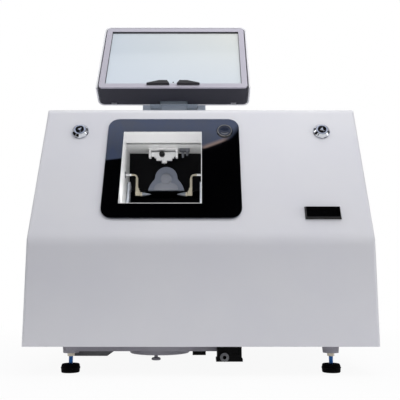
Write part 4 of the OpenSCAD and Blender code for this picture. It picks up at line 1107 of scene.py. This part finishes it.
@dataclass
class Studio:
    """Floor, light and camera. Places are in metres, sizes of panels in millimetres."""

    camera_place: Triple = (0.0, -1.4374, 0.1664)
    camera_pitch: float = 8.95
    lens: float = 51.3
    sensor: float = 36.0
    shift_x: float = -0.9 / 400
    floor_size: Pair = (40000, 40000)
    ambient: float = 0.26
    ambient_colour: Colour = (0.97, 0.98, 1.0)
    mirrored: float = 0.16
    lamps: Sequence[Lamp] = (
        Lamp("key", (0.5, -2.3, 3.1), (0, -0.1, 0.35), (2.4, 2.4), 35, glossy=False),
        Lamp("top_near", (0.35, -0.75, 1.75), (0, -0.2, 0.45), (1.2, 0.6), 6.2, glossy=False),
        Lamp("overhead", (0.0, 0.3, 2.7), (0, 0.1, 0.4), (2.2, 1.6), 12),
        Lamp("right_fill", (2.6, -1.2, 1.0), (0, 0, 0.2), (1.2, 1.8), 14),
        Lamp("left_fill", (-2.8, -0.4, 1.5), (0, 0, 0.3), (1.2, 1.8), 13),
        Lamp("rear_fill", (0.4, 2.8, 1.9), (0, 0, 0.3), (2.2, 1.6), 18),
        Lamp("chamber", (-0.0845, -0.258, 0.352), (-0.0845, -0.11, 0.47), (0.15, 0.05), 0.12, glossy=False),
    )
    flags: Sequence[tuple[str, Triple, Pair, Triple]] = (
        ("flag_left", (-1.7, -0.7, 0.48), (2100, 900), (90, 0, 90)),
        ("flag_floor", (-0.95, -1.1, 0.05), (900, 800), (0, 0, 0)),
        ("flag_right", (1.8, -0.35, 1.2), (1500, 400), (90, 0, 90)),
        ("flag_front", (-0.75, -2.2, 0.3), (900, 500), (90, 0, 0)),
    )
    card_size: Pair = (3400, 1500)
    card_place: Triple = (-0.1, -1.72, 2.35)
    card_target: Triple = (-0.06, -0.238, 0.427)
    card_edges: Sequence[Triple] = ((0.14, 197, 8), (0.39, 167.5, 12), (1.16, -29, 60))

    def build(self) -> None:
        """Sets up the whole studio."""
        self.camera()
        self.floor()
        self.world()
        for lamp in self.lamps:
            lamp.hang()
        self.reflected_card()
        self.dark_flags()

    def camera(self) -> None:
        """Sets the camera as the photograph was taken."""
        data = bpy.data.cameras.new("camera")
        data.lens = self.lens
        data.sensor_width = self.sensor
        data.shift_x = self.shift_x
        camera = bpy.data.objects.new("camera", data)
        camera.location = self.camera_place
        camera.rotation_euler = (math.radians(90 + self.camera_pitch), 0, 0)
        bpy.context.scene.collection.objects.link(camera)
        bpy.context.scene.camera = camera

    def world(self) -> None:
        """Makes the world a soft light that the camera sees as plain white."""
        world = bpy.data.worlds.new("studio")
        bpy.context.scene.world = world
        world.use_nodes = True
        tree = world.node_tree
        soft = tree.nodes["Background"]
        soft.inputs["Color"].default_value = (*self.ambient_colour, 1)
        soft.inputs["Strength"].default_value = self.ambient
        ray = tree.nodes.new("ShaderNodeLightPath")
        result = soft.outputs[0]
        for name, strength in (("Is Glossy Ray", self.mirrored), ("Is Transmission Ray", 1),
                               ("Is Camera Ray", 1)):
            seen = tree.nodes.new("ShaderNodeBackground")
            seen.inputs["Color"].default_value = (1, 1, 1, 1)
            seen.inputs["Strength"].default_value = strength
            mixed = tree.nodes.new("ShaderNodeMixShader")
            for entry, socket in enumerate((ray.outputs[name], result, seen.outputs[0])):
                tree.links.new(socket, mixed.inputs[entry])
            result = mixed.outputs[0]
        tree.links.new(result, tree.nodes["World Output"].inputs["Surface"])

    def floor(self) -> None:
        """Lays the pale floor, which keeps the machine's shadow close to it."""
        floor = Bench.flat("floor", self.floor_size)
        sheet = NodeSheet("pale_floor")
        away = sheet.reckon("LENGTH", sheet.place, vector=True)
        share = sheet.ranged(away, 0.93, 1.0, 0.4, 1.5)
        speck = sheet.noise(sheet.place, 3.0)
        sheet.dress(Base_Color=sheet.blend(speck, (0.86, 0.86, 0.87), (0.84, 0.84, 0.85)),
                    Roughness=sheet.ranged(speck, 0.7, 0.8), Specular_IOR_Level=0.1)
        ray = sheet.add("ShaderNodeLightPath").outputs
        gate = sheet.product(sheet.reckon("MAXIMUM", ray["Is Camera Ray"], ray["Is Glossy Ray"]), share)
        glow = sheet.add("ShaderNodeEmission").outputs[0]
        sheet.show(sheet.add("ShaderNodeMixShader", gate, sheet.shader.outputs[0], glow).outputs[0])
        floor.data.materials.append(sheet.material)

    @staticmethod
    def stand(panel: Piece, material: Material) -> None:
        """Stages a panel that only mirrors show.

        Args:
            panel: The panel.
            material: What it is made of.
        """
        panel.data.materials.append(material)
        panel.visible_camera = panel.visible_diffuse = panel.visible_shadow = False
        panel.visible_transmission = False

    def dark_flags(self) -> None:
        """Stands black cards to the sides, which only bright metal mirrors."""
        sheet = NodeSheet("black_flag")
        weave = sheet.noise(sheet.place, 400.0, 2)
        sheet.dress(Base_Color=sheet.blend(weave, (0.002, 0.002, 0.002), (0.004, 0.004, 0.004)),
                    Roughness=sheet.ranged(weave, 0.9, 1.0), Specular_IOR_Level=0.0)
        for name, place, size, turn in self.flags:
            flag = Bench.flat(name, size)
            flag.location = place
            flag.rotation_euler = tuple(math.radians(angle) for angle in turn)
            self.stand(flag, sheet.material)

    def reflected_card(self) -> None:
        """Hangs the panel that the glossy fascia mirrors: cool light above, dark below, a warm streak."""
        card = Bench.flat("reflected_card", self.card_size)
        card.location = self.card_place
        card.rotation_euler = aimed(self.card_place, self.card_target, "Z")
        sheet = NodeSheet("panel_light")
        x, y, _ = sheet.axes()
        slants = [sheet.reckon("MULTIPLY_ADD", x, slant, y) for slant, _, _ in self.card_edges]
        inside = [sheet.past(line, edge, blur) for line, (_, edge, blur) in zip(slants, self.card_edges)]
        corner = sheet.product(sheet.before(x, -470, 60), sheet.past(y, 150, 100))
        lit = sheet.reckon("MAXIMUM", sheet.product(*inside), corner)
        streak = sheet.product(sheet.before(slants[1], 184, 24), sheet.before(x, -95, 70),
                               sheet.past(x, -262.5, 45))
        cool = sheet.blend(sheet.past(y, 270, 160), (0.47, 0.53, 0.68), (0.75, 0.8, 0.95))
        colour = sheet.blend(streak, cool, (2.4, 1.6, 1.15))
        sheet.show(sheet.add("ShaderNodeEmission", colour, lit).outputs[0])
        self.stand(card, sheet.material)


def main() -> None:
    """Builds the studio, the finishes and each sub-assembly's fittings."""
    logging.basicConfig(level=logging.INFO, format="%(message)s")
    scene = bpy.context.scene
    scene.view_settings.view_transform = "Standard"
    Studio().build()
    paints = Paints()
    Bench.paints = paints.made
    paints.dress_nodes()
    for assembly in (DisplayFittings(), ControlFittings(), RearFittings(), UndersideFittings()):
        assembly.build()
        LOG.info("%s is done", type(assembly).__name__)
    LOG.info("%d pieces in all", Bench.count)
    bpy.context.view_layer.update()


if __name__ == "__main__":
    main()
